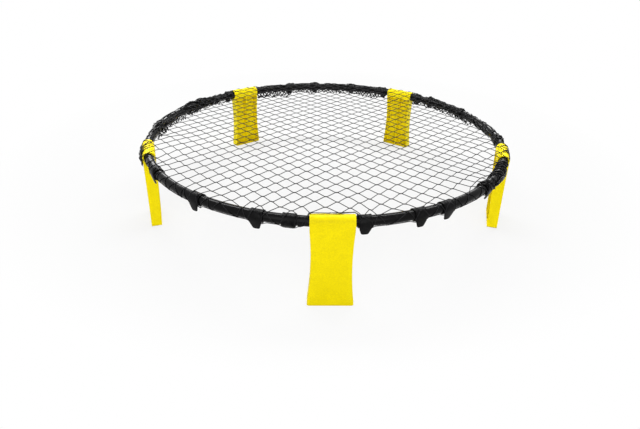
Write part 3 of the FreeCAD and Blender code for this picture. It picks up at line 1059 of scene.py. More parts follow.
@dataclass
class NetHooks:
    """The sliding hooks: a collar with two lips round the tube, and a shield that ends in a tongue."""

    layout: RingLayout
    collar_length: float = 25 * MM
    bore: float = 10.5 * MM
    collar_radius: float = 12.0 * MM
    lip_radius: float = 12.45 * MM
    lip_width: float = 2.2 * MM
    shield_radius: float = 13.6 * MM
    shield_width: float = 23 * MM
    tongue_width: float = 15 * MM
    tongue_drop: float = 23 * MM
    tongue_inset: float = 4.5 * MM
    plate: float = 2.6 * MM
    segments: int = 40
    crown: float = 0.55 * MM
    dome_turns: tuple[int, ...] = (86, 78, 68, 56, 42, 28, 14, 0)
    tongue_shares: tuple[float, ...] = (0.15, 0.32, 0.5, 0.68, 0.82, 0.92, 0.98, 1.0)
    slipped: tuple[str, ...] = ("net_hook_4_3",)

    def _collar_wall(self) -> Array:
        """Outline of the collar's wall with its two lips.

        Returns:
            (place along the tube, radius) of each point.
        """
        half, lip, soft = self.collar_length / 2, self.lip_width, 0.4 * MM
        return rounded([
            (-half, self.bore, soft), (half, self.bore, soft), (half, self.lip_radius, soft),
            (half - lip, self.lip_radius, soft), (half - lip - soft, self.collar_radius, soft / 2),
            (lip + soft - half, self.collar_radius, soft / 2), (lip - half, self.lip_radius, soft),
            (-half, self.lip_radius, soft),
        ], 2)

    def _shield_path(self) -> list[tuple[float, float, float, float, float]]:
        """Stations from the dome's top to the tongue's tip.

        Returns:
            Place outwards, height, lean of the face, half width and thickness of each.
        """
        face, half = self.shield_radius, self.shield_width / 2
        path = []
        for turn in self.dome_turns:
            angle = math.radians(turn)
            width = half * math.cos(angle) ** 0.8
            path.append((face * math.cos(angle), face * math.sin(angle), angle, width, self.plate * 0.8))
        lean = math.atan2(self.tongue_inset, self.tongue_drop)
        tip = self.tongue_width / 2
        for share in self.tongue_shares:
            width = half + (tip - half) * float(smoothstep(0.35, 1.0, np.array(share)))
            width -= tip * 0.28 * max(0.0, (share - 0.88) / 0.12) ** 3
            thick = self.plate * (0.8 + 0.35 * share) * (1 - 0.5 * max(0.0, (share - 0.9) / 0.1) ** 2)
            out = face - self.tongue_inset * share**1.3
            path.append((out, -self.tongue_drop * share, -lean, width, thick))
        return path

    def _shield_rings(self) -> list[Array]:
        """Rings of the shield, each a rounded, slightly crowned bar across its width.

        Returns:
            The rings in order.
        """
        laps = np.linspace(0, FULL_TURN, 20, endpoint=False)
        across = np.sign(np.cos(laps)) * np.abs(np.cos(laps)) ** 0.55
        deep = np.sign(np.sin(laps)) * np.abs(np.sin(laps)) ** 0.6
        rings = []
        for reach, height, lean, half, thick in self._shield_path():
            crown = self.crown * (1 - across**2) * (deep > 0)
            depth = (deep - 1) * thick / 2 + crown * min(1.0, half / (self.shield_width / 2))
            out, up = reach + depth * math.cos(lean), height + depth * math.sin(lean)
            rings.append(np.column_stack([out, across * half, up]))
        return rings

    def _mould(self) -> bpy.types.Mesh:
        """One hook about the tube's centre line, x outwards.

        Returns:
            The hook's mesh.
        """
        shells = Shells()
        shells.spin(self._collar_wall(), self.segments)
        shells.loft(self._shield_rings())
        return shells.mesh("hook_mould")

    def _placing(self) -> GeometryBuilder:
        """Tree that sets a hook on the ring: turned about the tube, then out to the ring and round it.

        Returns:
            The tree's builder.
        """
        made = GeometryBuilder("set_hook_on_ring")
        mould = made.size("Mould", "NodeSocketObject")
        rim, height = made.size("Ring radius"), made.size("Ring height")
        heading, turn = made.size("Heading"), made.size("Turn")
        fetched = made.node("GeometryNodeObjectInfo", {"transform_space": "ORIGINAL"}, {"Object": mould})
        leant = made.move(fetched.outputs["Geometry"], Rotation=made.vector(Y=turn))
        moved = made.move(leant, Translation=made.vector(X=rim, Z=height))
        made.close(made.move(moved, Rotation=made.vector(Z=heading)))
        return made

    def _turn(self, index: int, name: str) -> HookTurn:
        """Tell how one hook sits.

        Args:
            index: Its place among the hooks.
            name: Its node in the frame.

        Returns:
            Its turn about the tube.
        """
        if name in self.slipped:
            return HookTurn.SLIPPED_UNDER
        return (HookTurn.UPRIGHT, HookTurn.LEANING_OUT, HookTurn.UPRIGHT, HookTurn.LEANING_IN)[index % 4]

    def build(self, finish: Material) -> None:
        """Build the hooks in place of the frame's.

        Args:
            finish: Their material.
        """
        mould = add_piece("hook_mould", self._mould())
        placing = self._placing()
        for index, name in enumerate(self.layout.hook_names):
            piece = add_piece(name.replace("net_hook", "sliding_hook"), bpy.data.meshes.new(name))
            placing.run(piece, {
                "Mould": mould,
                "Ring radius": self.layout.rim_radius,
                "Ring height": self.layout.rim_height,
                "Heading": float(self.layout.hook_headings[index]),
                "Turn": math.radians(self._turn(index, name).value),
                "Finish": finish,
            })
            piece.data.set_sharp_from_angle(angle=SHARP_ANGLE)
            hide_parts(name)
            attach(piece, "ring")
            report(piece)
        bpy.data.objects.remove(mould)


# ---------------------------------------------------------------- the net


class EdgeHold(Enum):
    """How the net's edge is held, as degrees round the tube from its top: last knots, then edge cord."""

    HOOKED = (34.0, 158.0)
    DRAWN = (14.0, 140.0)
    OVER_SLEEVE = (40.0, 98.0)
    INSIDE_SADDLE = (-16.0, -26.0)


class EdgeLine(Enum):
    """Which of the two lines of the net's edge, as the place in an EdgeHold."""

    LAST_KNOTS = 0
    CORD = 1


@dataclass
class RimContact:
    """How the twine lies on the ring: its distance from the tube's centre line, and where the edge is."""

    layout: RingLayout
    hooks: NetHooks
    legs: FoldingLegs
    tube_radius: float = 10 * MM
    twine: float = 0.77 * MM
    gap: float = 0.08 * MM
    sleeve_gap: float = 0.1 * MM
    shield_gap: float = 0.3 * MM
    folded_gap: float = 1.05 * MM
    sleeve_end: float = 2.4 * MM
    collar_ramp: Pair = (4.5 * MM, 0.5 * MM)
    shield_ramp: Pair = (2.5 * MM, 0.4 * MM)
    sleeve_ramp: Pair = (9 * MM, 1.5 * MM)
    folded_ramp: Pair = (34 * MM, 4 * MM)
    folded_reach: Pair = (130 * MM, 45 * MM)
    edge_ramp: Pair = (8 * MM, -2 * MM)
    hook_pull: float = 19 * MM
    bare_saddle: int = 0

    def __post_init__(self) -> None:
        """Work out the distances from the tube's centre line on the bare tube and on a sleeve."""
        self.bare = self.tube_radius + self.twine + self.gap
        self.on_sleeve = self.legs.sleeve_radius + self.twine + self.sleeve_gap
        self.half_sleeve = self.legs.sleeve_length / 2

    @staticmethod
    def _within(half: Array | float, ramp: Pair, past: Array) -> Array:
        """1 within half a width of a place, easing to 0 beside it over a ramp."""
        return smoothstep(half + ramp[0], half + ramp[1], np.abs(past))

    def least(self, heading: Array) -> Array:
        """Least distance from the tube's centre line that keeps twine out of the tube and the sleeves."""
        past = np.abs(self.layout.past_leg(heading))
        return np.where(past < self.half_sleeve + self.sleeve_end, self.on_sleeve, self.bare)

    def over_folded_leg(self, heading: Array, inside: Array, level: Array) -> Array:
        """Height of the net above the tube's centre line, raised where a folded leg lies under it.

        Args:
            heading: Angle round the ring.
            inside: Distance from the tube's centre line towards the middle.
            level: Height before.

        Returns:
            The height.
        """
        share = self._within(self.half_sleeve, self.folded_ramp, self.layout.past_leg(heading))
        share = share * smoothstep(*self.folded_reach, inside)
        return level + np.maximum(self.on_sleeve + self.folded_gap - level, 0) * share

    def reach(self, heading: Array, turn: Array) -> Array:
        """Distance of the twine from the tube's centre line.

        Args:
            heading: Angle round the ring.
            turn: Angle round the tube, from its top outwards.

        Returns:
            The distance, larger over the collars, the shields and the sleeves.
        """
        hooks, past_hook = self.hooks, self.layout.past_hook(heading)
        collar = hooks.lip_radius + self.twine - self.bare
        shield = hooks.shield_radius + self.twine + self.shield_gap - self.bare
        sleeve = self.legs.sleeve_radius + self.twine - self.bare
        wide = hooks.shield_width / 2 * np.clip(np.sin(np.clip(turn, 0, math.pi / 2)), 0, 1)
        collar = collar * self._within(hooks.collar_length / 2, self.collar_ramp, past_hook)
        shield = shield * (self._within(wide, self.shield_ramp, past_hook) * (turn > 0.05))
        sleeve = sleeve * self._within(self.half_sleeve, self.sleeve_ramp, self.layout.past_leg(heading))
        return self.bare + np.maximum(np.maximum(collar, shield), sleeve) + 0.05 * MM

    def edge(self, heading: Array, line: EdgeLine) -> Array:
        """Radius of one line of the net's edge, laid flat, at a heading.

        Args:
            heading: Angle round the ring.
            line: Which of the lines.

        Returns:
            The radius.
        """
        hooked, drawn, over_sleeve, inside = (
            hold.value[line.value]
            for hold in (EdgeHold.HOOKED, EdgeHold.DRAWN, EdgeHold.OVER_SLEEVE, EdgeHold.INSIDE_SADDLE)
        )
        past_leg, which = self.layout.nearest(heading, self.layout.leg_headings)
        pulled = np.exp(-((self.layout.past_hook(heading) / self.hook_pull) ** 2))
        turn = drawn + (hooked - drawn) * pulled
        target = np.where(which == self.bare_saddle, inside, over_sleeve)
        turn = turn + (target - turn) * self._within(self.half_sleeve, self.edge_ramp, past_leg)
        return self.layout.rim_radius + self.bare * np.radians(turn)

    def lift_off(self, path: Array) -> Array:
        """Push points that sank into the tube or a sleeve back to its surface.

        Args:
            path: Points near the ring.

        Returns:
            The points, moved.
        """
        rim, height = self.layout.rim_radius, self.layout.rim_height
        out, heading = polar(path)
        across, above = out - rim, path[:, 2] - height
        distance = np.maximum(np.hypot(across, above), 1e-6)
        scale = np.maximum(self.least(heading) / distance, 1.0)
        return around(rim + across * scale, heading, height + above * scale)


@dataclass
class FringeZone:
    """A stretch of the ring where surplus net hangs in crumpled cells under the tube."""

    start: float
    end: float
    rows: int
    drop: float
    pitch: float = 11 * MM
    out: float = 0.0
    top: float = 8 * MM
    cord: float = 1.3


@dataclass
class WrapZone:
    """A stretch of the ring where surplus net is drawn into cords that wind round the tube."""

    start: float
    end: float
    cords: int
    thick: Pair
    stack: float
    low: float = -110
    high: float = 150
    twist: float = 150
    length: float = 85 * MM
    strands: int = 20
    against: float = 0.25


@dataclass
class PlayingNet:
    """The knotted net: even diamond cells over the ring, drawn down to the hooks at its edge."""

    layout: RingLayout
    contact: RimContact
    cell_width: float = 39.4 * MM
    cell_height: float = 38 * MM
    turn: float = math.radians(-1.2)
    shift: Pair = (-4.4 * MM, 4.3 * MM)
    lattice: tuple[int, int] = (28, 14)
    edge_room: float = 8 * MM
    knot_length: float = 4.8 * MM
    knot_radius: float = 0.62 * MM
    knot_half: float = 0.42
    knot_stray: float = 0.13
    edge_knot: float = 0.35
    along_rim: Pair = (405 * MM, 436 * MM)
    middle_height: float = 11.45 * MM
    falloff: float = 38 * MM
    near_rim: float = 386 * MM
    span: float = 3.0 * MM
    smoothings: int = 3
    settle_rounds: int = 500
    gather: float = 0.4
    gather_heading: float = math.radians(-33)
    gather_width: float = math.radians(24)
    pull_widths: Pair = (17 * MM, 45 * MM)
    knot_pull: Pair = (0.72, 0.42)
    cord_pull: Pair = (0.93, 0.5)
    cord_stray: float = 0.7 * MM
    tongue_room: float = 12.6 * MM
    tongue_taper: float = 2.2 * MM
    tongue_turns: tuple[Pair, ...] = ((20, 80), (110, 148), (149, 157))
    saddle_ramp: Pair = (1.5 * MM, 9 * MM)
    saddle_room: float = 60 * MM
    saddle_inset: float = 3.0 * MM

    # -- the lattice, laid flat

    def _lattice(self) -> tuple[Array, Array]:
        """Lay out an even diamond net, larger than the ring.

        Returns:
            The knots, and the numbers of the two knots that each strand joins.
        """
        rows, columns = (range(-count, count + 1) for count in self.lattice)
        number = {}
        points = []
        for row in rows:
            for column in columns:
                number[row, column] = len(points)
                across = (column + 0.5 * (row % 2)) * self.cell_width + self.shift[0]
                points.append((across, row * self.cell_height / 2 + self.shift[1]))
        strands = []
        for row, column in number:
            other = column + 1 if row % 2 else column - 1
            for partner in ((row + 1, column), (row + 1, other)):
                if partner in number:
                    strands.append((number[row, column], number[partner]))
        cosine, sine = math.cos(self.turn), math.sin(self.turn)
        flat = np.array(points) @ np.array(((cosine, sine), (-sine, cosine)))
        return flat, np.array(strands)

    def _gathered(self, heading: Array) -> Array:
        """Headings once the net has been drawn together where its largest surplus is."""
        past = wrapped(heading - self.gather_heading)
        return heading - past * self.gather * np.exp(-((past / self.gather_width) ** 2))

    def _pull_to_hooks(self, heading: Array, line: EdgeLine) -> Array:
        """Headings of one line of the edge once the hooks have drawn it in.

        Args:
            heading: Headings before.
            line: Which of the lines.

        Returns:
            The headings.
        """
        past = self.layout.past_hook(heading)
        shares = self.cord_pull if line is EdgeLine.CORD else self.knot_pull
        near, wide = (
            np.exp(-((past / width) ** 2)) * share for width, share in zip(self.pull_widths, shares)
        )
        return heading - past * np.maximum(near, wide) / self.layout.rim_radius

    def _settle(self) -> tuple[Array, Array, Array]:
        """Fit the lattice to the ring and let the tension even out.

        Returns:
            Knots laid flat, strands between them, and a mark on the knots of the edge.
        """
        points, strands = self._lattice()
        radius, heading = polar(points)
        free = radius < self.contact.edge(heading, EdgeLine.LAST_KNOTS) - self.edge_room
        touched = np.zeros(len(points), bool)
        for first, second in (strands.T, strands.T[::-1]):
            np.logical_or.at(touched, first, free[second])
        edge = touched & ~free
        drawn = self._pull_to_hooks(self._gathered(heading), EdgeLine.LAST_KNOTS)
        points[edge] = around(self.contact.edge(drawn, EdgeLine.LAST_KNOTS), drawn)[edge]
        kept = free | edge
        renumber = np.cumsum(kept) - 1
        first, second = strands.T
        strands = renumber[strands[(free[first] & kept[second]) | (kept[first] & free[second])]]
        points, free = points[kept], free[kept]
        for _ in range(self.settle_rounds):
            total, count = np.zeros_like(points), np.zeros(len(points))
            for first, second in (strands.T, strands.T[::-1]):
                np.add.at(total, first, points[second])
                np.add.at(count, first, 1)
            points[free] = (total / count[:, None])[free]
        return points, strands, ~free

    def _add_edge_cord(
        self, points: Array, strands: Array, edge: Array, rng: Random,
    ) -> tuple[Array, Array, Array]:
        """Fold the last half cells over the tube, down to the cord that runs from hook to hook.

        Args:
            points: Knots laid flat.
            strands: Strands between them.
            edge: Mark on the last knots.
            rng: Source of the small unevenness.

        Returns:
            The same three with the cord's knots and strands added.
        """
        members = np.flatnonzero(edge)
        headings = polar(points[members])[1]
        order = np.argsort(headings)
        members, headings = members[order], headings[order]
        gaps = (np.roll(headings, -1) - headings) % FULL_TURN
        middles = headings + gaps * rng.uniform(0.35, 0.65, len(gaps))
        drawn = self._pull_to_hooks(middles, EdgeLine.CORD)
        reach = self.contact.edge(drawn, EdgeLine.CORD) + rng.normal(0, self.cord_stray, len(drawn))
        knots = around(reach, drawn)
        numbers = len(points) + np.arange(len(knots))
        ends = ((members, numbers), (np.roll(members, -1), numbers), (numbers, np.roll(numbers, -1)))
        added = [np.stack(pair, -1) for pair in ends]
        marks = np.concatenate([edge, np.ones(len(knots), bool)])
        return np.concatenate([points, knots]), np.concatenate([strands, *added]), marks

    # -- over the ring

    def _drape(self, flat: Array) -> Array:
        """Bend points of the flat net over the ring.

        Args:
            flat: Points laid flat.

        Returns:
            The points in their places.
        """
        rim = self.layout.rim_radius
        radius, heading = polar(flat)
        turn = np.maximum(radius - rim, 0) / self.contact.bare
        reach = self.contact.reach(heading, turn)
        top = self.contact.reach(heading, np.zeros_like(turn))
        inside = np.maximum(rim - radius, 0)
        level = self.middle_height + (top - self.middle_height) * np.exp(-inside / self.falloff)
        level = self.contact.over_folded_leg(heading, inside, level)
        over = radius > rim
        out = np.where(over, rim + reach * np.sin(turn), radius)
        return around(out, heading, self.layout.rim_height + np.where(over, reach * np.cos(turn), level))

    def _beside_tongue(self, path: Array) -> Array:
        """Keep a strand that ends under a hook beside the hook's tongue, on the side it comes from.

        Args:
            path: The strand's points, laid flat.

        Returns:
            The points, moved.
        """
        radius, heading = polar(path)
        past, which = self.layout.nearest(heading, self.layout.hook_headings)
        turn = np.degrees((radius - self.layout.rim_radius) / self.contact.bare)
        side = 1.0 if past[np.argmax(np.abs(past))] > 0 else -1.0
        beside, taper, under = (smoothstep(*turns, turn) for turns in self.tongue_turns)
        room = (self.tongue_room * beside - self.tongue_taper * taper) * (1 - under)
        moved = np.where(np.abs(past) < room, side * room, past)
        return around(radius, self.layout.hook_headings[which] + moved / self.layout.rim_radius)

    def _inside_saddle(self, path: Array) -> Array:
        """Lead a strand along the inner side of the saddle that the net does not cover.

        Args:
            path: The strand's points, laid flat.

        Returns:
            The points, moved.
        """
        radius, heading = polar(path)
        past, which = self.layout.nearest(heading, self.layout.leg_headings)
        low, high = (self.contact.half_sleeve + ramp for ramp in self.saddle_ramp)
        room = smoothstep(low, high, np.abs(past)) * self.saddle_room - self.saddle_inset
        limit = np.where(which == self.contact.bare_saddle, self.layout.rim_radius + room, math.inf)
        return path * np.minimum(limit / radius, 1.0)[:, None]

    def _strand_path(self, start: Array, end: Array, edge: bool) -> Array:
        """Points along one strand near the ring, draped.

        Args:
            start: Where it leaves its first knot, laid flat.
            end: Where it meets the second.
            edge: Whether it is on the net's edge.

        Returns:
            Its points.
        """
        length = np.linalg.norm(end - start)
        shares = np.linspace(0, 1, max(3, math.ceil(length / self.span) + 1))
        flat = start + (end - start) * shares[:, None]
        if edge:
            flat = self._inside_saddle(self._beside_tongue(flat))
        path = self._drape(flat)
        for _ in range(self.smoothings):
            path[1:-1] = path[1:-1] * 0.5 + (path[:-2] + path[2:]) * 0.25
        return self.contact.lift_off(path)

    def _knot_lies(self, flat: Array, edge: Array, rng: Random) -> Array:
        """Half of each knot, laid flat: across the cells, and along the ring near it.

        Args:
            flat: Knots laid flat.
            edge: Mark on the knots of the edge.
            rng: Source of the unevenness.

        Returns:
            Half of each knot as a vector.
        """
        radius, heading = polar(flat)
        along = np.stack([-np.sin(heading), np.cos(heading)], -1)
        across = np.array((math.cos(self.turn), math.sin(self.turn)))
        share = smoothstep(*self.along_rim, radius)[:, None]
        along *= np.where(along @ across < 0, -1, 1)[:, None]
        lies = across * (1 - share) + along * share + rng.normal(0, self.knot_stray, (len(flat), 2))
        lies /= np.linalg.norm(lies, axis=1)[:, None]
        half = self.knot_length * self.knot_half * rng.uniform(0.8, 1.15, len(flat))
        return lies * (half * np.where(edge, self.edge_knot, 1.0))[:, None]

    def paths(self, rng: Random) -> tuple[list[Array], Array, Array]:
        """Lay out the whole net.

        Args:
            rng: Source of the small unevenness.

        Returns:
            Paths of the strands and the knots' cores, places of the knots, and the way that each lies.
        """
        flat, strands, edge = self._settle()
        flat, strands, edge = self._add_edge_cord(flat, strands, edge, rng)
        lies = self._knot_lies(flat, edge, rng)
        near = polar(flat)[0] > self.near_rim
        paths = []
        for first, second in strands:
            along = flat[second] - flat[first]
            start = flat[first] + lies[first] * np.sign(along @ lies[first])
            end = flat[second] - lies[second] * np.sign(along @ lies[second])
            if near[first] or near[second]:
                paths.append(self._strand_path(start, end, bool(edge[first] or edge[second])))
            else:
                paths.append(self._drape(np.stack([start, end])))
        left, right = self._drape(flat - lies), self._drape(flat + lies)
        paths.extend(np.stack([left, right], 1)[~edge])
        return paths, self._drape(flat), right - left


@dataclass
class SurplusNet:
    """The net beyond the hooks: crumpled fringes under the tube, and cords wound round it."""

    layout: RingLayout
    contact: RimContact
    fringes: tuple[FringeZone, ...] = (
        FringeZone(104, 120, 3, 7 * MM, 10 * MM, -3 * MM, cord=2.1),
        FringeZone(76, 104, 2, 6 * MM, 11 * MM, -3 * MM, cord=1.7),
        FringeZone(60.3, 76, 2, 7.5 * MM, 10 * MM, -3 * MM, cord=2.0),
        FringeZone(132, 158, 2, 5.5 * MM, 9 * MM, -6.5 * MM, 7 * MM, 1.2),
        FringeZone(158, 182, 2, 6 * MM, 9 * MM, -7.5 * MM, 7 * MM, 1.3),
        FringeZone(14, 48, 2, 5.5 * MM, 12 * MM, -7 * MM, 7 * MM, 1.7),
        FringeZone(319, 335.6, 1, 5 * MM, 12 * MM, 5 * MM, 12 * MM, 1.8),
    )
    wraps: tuple[WrapZone, ...] = (
        WrapZone(319.5, 335.8, 7, (1.5 * MM, 2.1 * MM), 0.4 * MM, -40, 20, 350, 42 * MM, 2, 0),
        WrapZone(318.5, 335.8, 9, (2.0 * MM, 3.0 * MM), 2.4 * MM, 90, 135, 50, 80 * MM, 3),
        WrapZone(311, 320, 3, (0.9 * MM, 1.3 * MM), 0.4 * MM, -60, 60, 330, 50 * MM, 2, 0),
        WrapZone(337.2, 346.8, 0, (0.8 * MM, 1.0 * MM), 0.2 * MM, -10, 50, 130, 46 * MM, 3),
        WrapZone(193.2, 202.8, 0, (0.8 * MM, 1.0 * MM), 0.2 * MM, 20, 70, 110, 42 * MM, 2),
        WrapZone(348.2, 378, 8, (1.0 * MM, 1.8 * MM), 0.5 * MM, -100, 120, 190, 85 * MM, 4),
        WrapZone(378, 408, 11, (1.2 * MM, 2.0 * MM), 0.7 * MM, -110, 110, 190, 85 * MM, 5),
        WrapZone(60.2, 119.8, 16, (1.0 * MM, 1.6 * MM), 0.4 * MM, -90, 120, 130, 80 * MM, 8),
        WrapZone(132.2, 162, 13, (1.4 * MM, 2.6 * MM), 0.45 * MM, -120, 100, 130, 110 * MM, 2),
        WrapZone(162, 187, 10, (1.3 * MM, 2.3 * MM), 0.4 * MM, -120, 100, 140, 105 * MM, 2),
    )
    step: float = 4 * MM
    bulge: float = 1.4 * MM
    stray_along: float = 2.0 * MM
    stray_out: float = 2.2 * MM
    sway: float = 12.0
    strand: float = 1.1
    bundle_cords: int = 34
    bundle_start: Pair = (190.5, 199)
    bundle_run: Pair = (3, 6)
    bundle_out: float = 16.2 * MM
    bundle_fall: float = 6 * MM

    def _cell_sides(
        self, rng: Random, grid: list[Array], cord: float,
    ) -> list[Cord]:
        """Sides of crumpled cells.

        Args:
            rng: Source of the unevenness.
            grid: Rows of knots.
            cord: Thickness as a multiple of the twine's.

        Returns:
            Points of each strand, and its thickness at each as a multiple of the twine's.
        """
        shares = np.linspace(0, 1, 5)[:, None]
        paths = []
        for row, (upper, lower) in enumerate(zip(grid, grid[1:])):
            for index in range(len(upper)):
                for partner in (index, index + 1 if row % 2 else index - 1):
                    if 0 <= partner < len(lower):
                        start, end = upper[index], lower[partner]
                        middle = (start + end) / 2 + rng.normal(0, self.bulge, 3)
                        path = (1 - shares) ** 2 * start + 2 * shares * (1 - shares) * middle
                        path = path + shares**2 * end
                        paths.append((path, np.full(5, cord * rng.uniform(0.6, 1.3))))
        return paths

    def _hang(self, rng: Random, zone: FringeZone) -> list[Cord]:
        """Surplus net that hangs under the tube.

        Args:
            rng: Source of the unevenness.
            zone: Where it hangs.

        Returns:
            Points of each strand, and its thickness at each as a multiple of the twine's.
        """
        rim, height = self.layout.rim_radius, self.layout.rim_height
        first, last = math.radians(zone.start), math.radians(zone.end)
        count = round((last - first) * rim / zone.pitch)
        grid = []
        for row in range(zone.rows + 1):
            shares = (np.arange(count) + 0.25 + 0.5 * (row % 2)) / count
            headings = first + shares * (last - first) + rng.normal(0, self.stray_along, count) / rim
            out = rim + zone.out + rng.normal(0, self.stray_out, count)
            fall = zone.top + zone.drop * row * rng.uniform(0.6, 1.25, count)
            grid.append(around(out, headings, height - fall))
        sides = self._cell_sides(rng, grid, zone.cord)
        return [(self.contact.lift_off(path), cord) for path, cord in sides]

    def _wind(
        self, rng: Random, zone: WrapZone, thick: float, place: float,
    ) -> Cord:
        """One cord or strand that winds round the tube.

        Args:
            rng: Source of the unevenness.
            zone: Where it lies.
            thick: Its radius.
            place: How far along the zone it lies, 0 to 1.

        Returns:
            Its points, and its thickness at each as a multiple of the twine's.
        """
        rim = self.layout.rim_radius
        first, last = math.radians(zone.start), math.radians(zone.end)
        length = zone.length * rng.uniform(0.7, 1.3)
        angle = min(length / rim, last - first)
        shares = np.linspace(0, 1, max(6, round(length / self.step)))
        headings = first + (last - first - angle) * place + angle * shares
        middle = rng.uniform(zone.low, zone.high)
        turned = (-1 if rng.uniform() < zone.against else 1) * zone.twist * rng.uniform(0.7, 1.2)
        sway = self.sway * np.sin(FULL_TURN * (shares * rng.uniform(0.8, 2.2) + rng.uniform()))
        turn = np.radians(middle + turned * (shares - 0.5) + sway)
        reach = self.contact.reach(headings, turn) + (thick - self.contact.twine) * 0.8
        reach = reach + zone.stack * rng.uniform() * np.sin(math.pi * shares)
        height = self.layout.rim_height + reach * np.cos(turn)
        path = around(rim + reach * np.sin(turn), headings, height)
        return path, thick / self.contact.twine * tapered(shares, 0.02)

    def _beside_leg(self, rng: Random) -> list[Cord]:
        """Surplus net that hangs outside one leg's sleeve.

        Args:
            rng: Source of the unevenness.

        Returns:
            Points of each strand, and its thickness at each as a multiple of the twine's.
        """
        rim, height = self.layout.rim_radius, self.layout.rim_height
        paths = []
        for _ in range(self.bundle_cords):
            start = math.radians(rng.uniform(*self.bundle_start))
            shares = np.linspace(0, 1, 12)
            headings = start + shares * math.radians(rng.uniform(*self.bundle_run))
            out = rim + self.bundle_out + rng.uniform(0, 3.5) * MM
            out = out + 1.0 * MM * np.sin(shares * 7 + rng.uniform(0, 6))
            fall = rng.uniform(0, 9) * MM + self.bundle_fall * shares**1.4
            fall = fall + 2 * MM * np.sin(shares * 5 + rng.uniform(0, 6))
            path = around(out, headings, height - fall)
            paths.append((path, rng.uniform(1.0, 2.4) * tapered(shares, 0.05)))
        return paths

    def paths(self, rng: Random) -> list[Cord]:
        """Lay out the surplus net.

        Args:
            rng: Source of the unevenness.

        Returns:
            Points of each strand, and its thickness at each as a multiple of the twine's.
        """
        laid = []
        for zone in self.fringes:
            laid += self._hang(rng, zone)
        for zone in self.wraps:
            for index in range(zone.cords):
                thick = rng.uniform(*zone.thick)
                laid.append(self._wind(rng, zone, thick, (index + rng.uniform()) / zone.cords))
            for index in range(zone.strands):
                place = (index + rng.uniform()) / zone.strands
                laid.append(self._wind(rng, zone, self.contact.twine * self.strand, place))
        return laid + self._beside_leg(rng)


@dataclass
class NetWeaver:
    """Turns paths into twine."""

    twine: float
    knot_length: float
    knot_radius: float

    def __post_init__(self) -> None:
        """Build the tree that both pieces of net share."""
        self.tree = self._weave_tree()

    @staticmethod
    def _weave_tree() -> GeometryBuilder:
        """Tree that turns paths into twine and sets a wound knot on each marked point.

        Returns:
            The tree's builder.
        """
        made = GeometryBuilder("weave_twine")
        radius = made.size("Twine radius")
        sides = made.size("Twine sides", "NodeSocketInt")
        knot_length, knot_radius = made.size("Knot length"), made.size("Knot radius")
        lines = made.node("GeometryNodeMeshToCurve", inputs={"Mesh": made.geometry})
        run = made.node("GeometryNodeSplineParameter")
        marked = made.node(
            "GeometryNodeStoreNamedAttribute", {"data_type": "FLOAT", "domain": "POINT"},
            {"Geometry": lines.outputs[0], "Name": ALONG, "Value": run.outputs["Length"]},
        )
        strands = made.sweep(marked.outputs[0], radius, sides, Scale=made.mark("cord", "FLOAT"))
        winding = made.node(
            "GeometryNodeCurveSpiral",
            inputs={
                "Resolution": 5, "Rotations": 2.2, "Start Radius": knot_radius,
                "End Radius": knot_radius, "Height": knot_length,
            },
        )
        centred = made.vector(Z=Value(made, knot_length) * -0.5)
        wound = made.move(winding.outputs[0], Translation=centred)
        knot = made.sweep(wound, Value(made, radius) * 1.05, 4)
        lie = made.mark("knot_lie", "FLOAT_VECTOR")
        aim = made.node("FunctionNodeAlignRotationToVector", {"axis": "Z"}, {"Vector": lie})
        knots = made.node(
            "GeometryNodeInstanceOnPoints",
            inputs={
                "Points": made.geometry, "Selection": made.mark("tied", "BOOLEAN"),
                "Instance": knot, "Rotation": aim.outputs[0],
            },
        )
        joined = made.node("GeometryNodeJoinGeometry")
        made.tree.links.new(knots.outputs[0], joined.inputs[0])
        made.tree.links.new(strands, joined.inputs[0])
        made.close(joined.outputs[0])
        return made

    @staticmethod
    def _line_mesh(
        name: str, paths: list[Array], cords: list[Array], knots: Array, lies: Array,
    ) -> bpy.types.Mesh:
        """Mesh of the paths' edges and the knots' points, with the marks that the tree reads.

        Args:
            name: The mesh's name.
            paths: Points of each strand.
            cords: Thickness at each point, as a multiple of the twine's.
            knots: Places of the knots.
            lies: Direction that each knot lies in.

        Returns:
            The mesh.
        """
        points, edges, count = [], [], 0
        for path in paths:
            points.append(path)
            edges.extend((count + index, count + index + 1) for index in range(len(path) - 1))
            count += len(path)
        made = bpy.data.meshes.new(name)
        made.from_pydata(np.concatenate([*points, knots]).tolist(), edges, [])
        cord = np.concatenate([*cords, np.ones(len(knots))]).astype(np.float32)
        vectors = np.concatenate([np.zeros((count, 3)), lies]).astype(np.float32).ravel()
        marks = (
            ("tied", "BOOLEAN", "value", np.arange(count + len(knots)) >= count),
            ("cord", "FLOAT", "value", cord),
            ("knot_lie", "FLOAT_VECTOR", "vector", vectors),
        )
        for mark, kind, part, values in marks:
            made.attributes.new(mark, kind, "POINT").data.foreach_set(part, values)
        return made

    def weave(
        self, name: str, paths: list[Array], cords: list[Array], knots: Array, lies: Array,
        sides: int, finish: Material,
    ) -> bpy.types.Object:
        """Make a piece of twine on the ring's body.

        Args:
            name: The piece's name.
            paths: Points of each strand.
            cords: Thickness at each point, as a multiple of the twine's.
            knots: Places of the knots.
            lies: Direction that each knot lies in.
            sides: Sides of the twine's section.
            finish: Its material.

        Returns:
            The piece.
        """
        piece = add_piece(name, self._line_mesh(name, paths, cords, knots, lies))
        self.tree.run(piece, {
            "Twine radius": self.twine, "Twine sides": sides, "Knot length": self.knot_length,
            "Knot radius": self.knot_radius, "Finish": finish,
        })
        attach(piece, "ring")
        report(piece)
        return piece


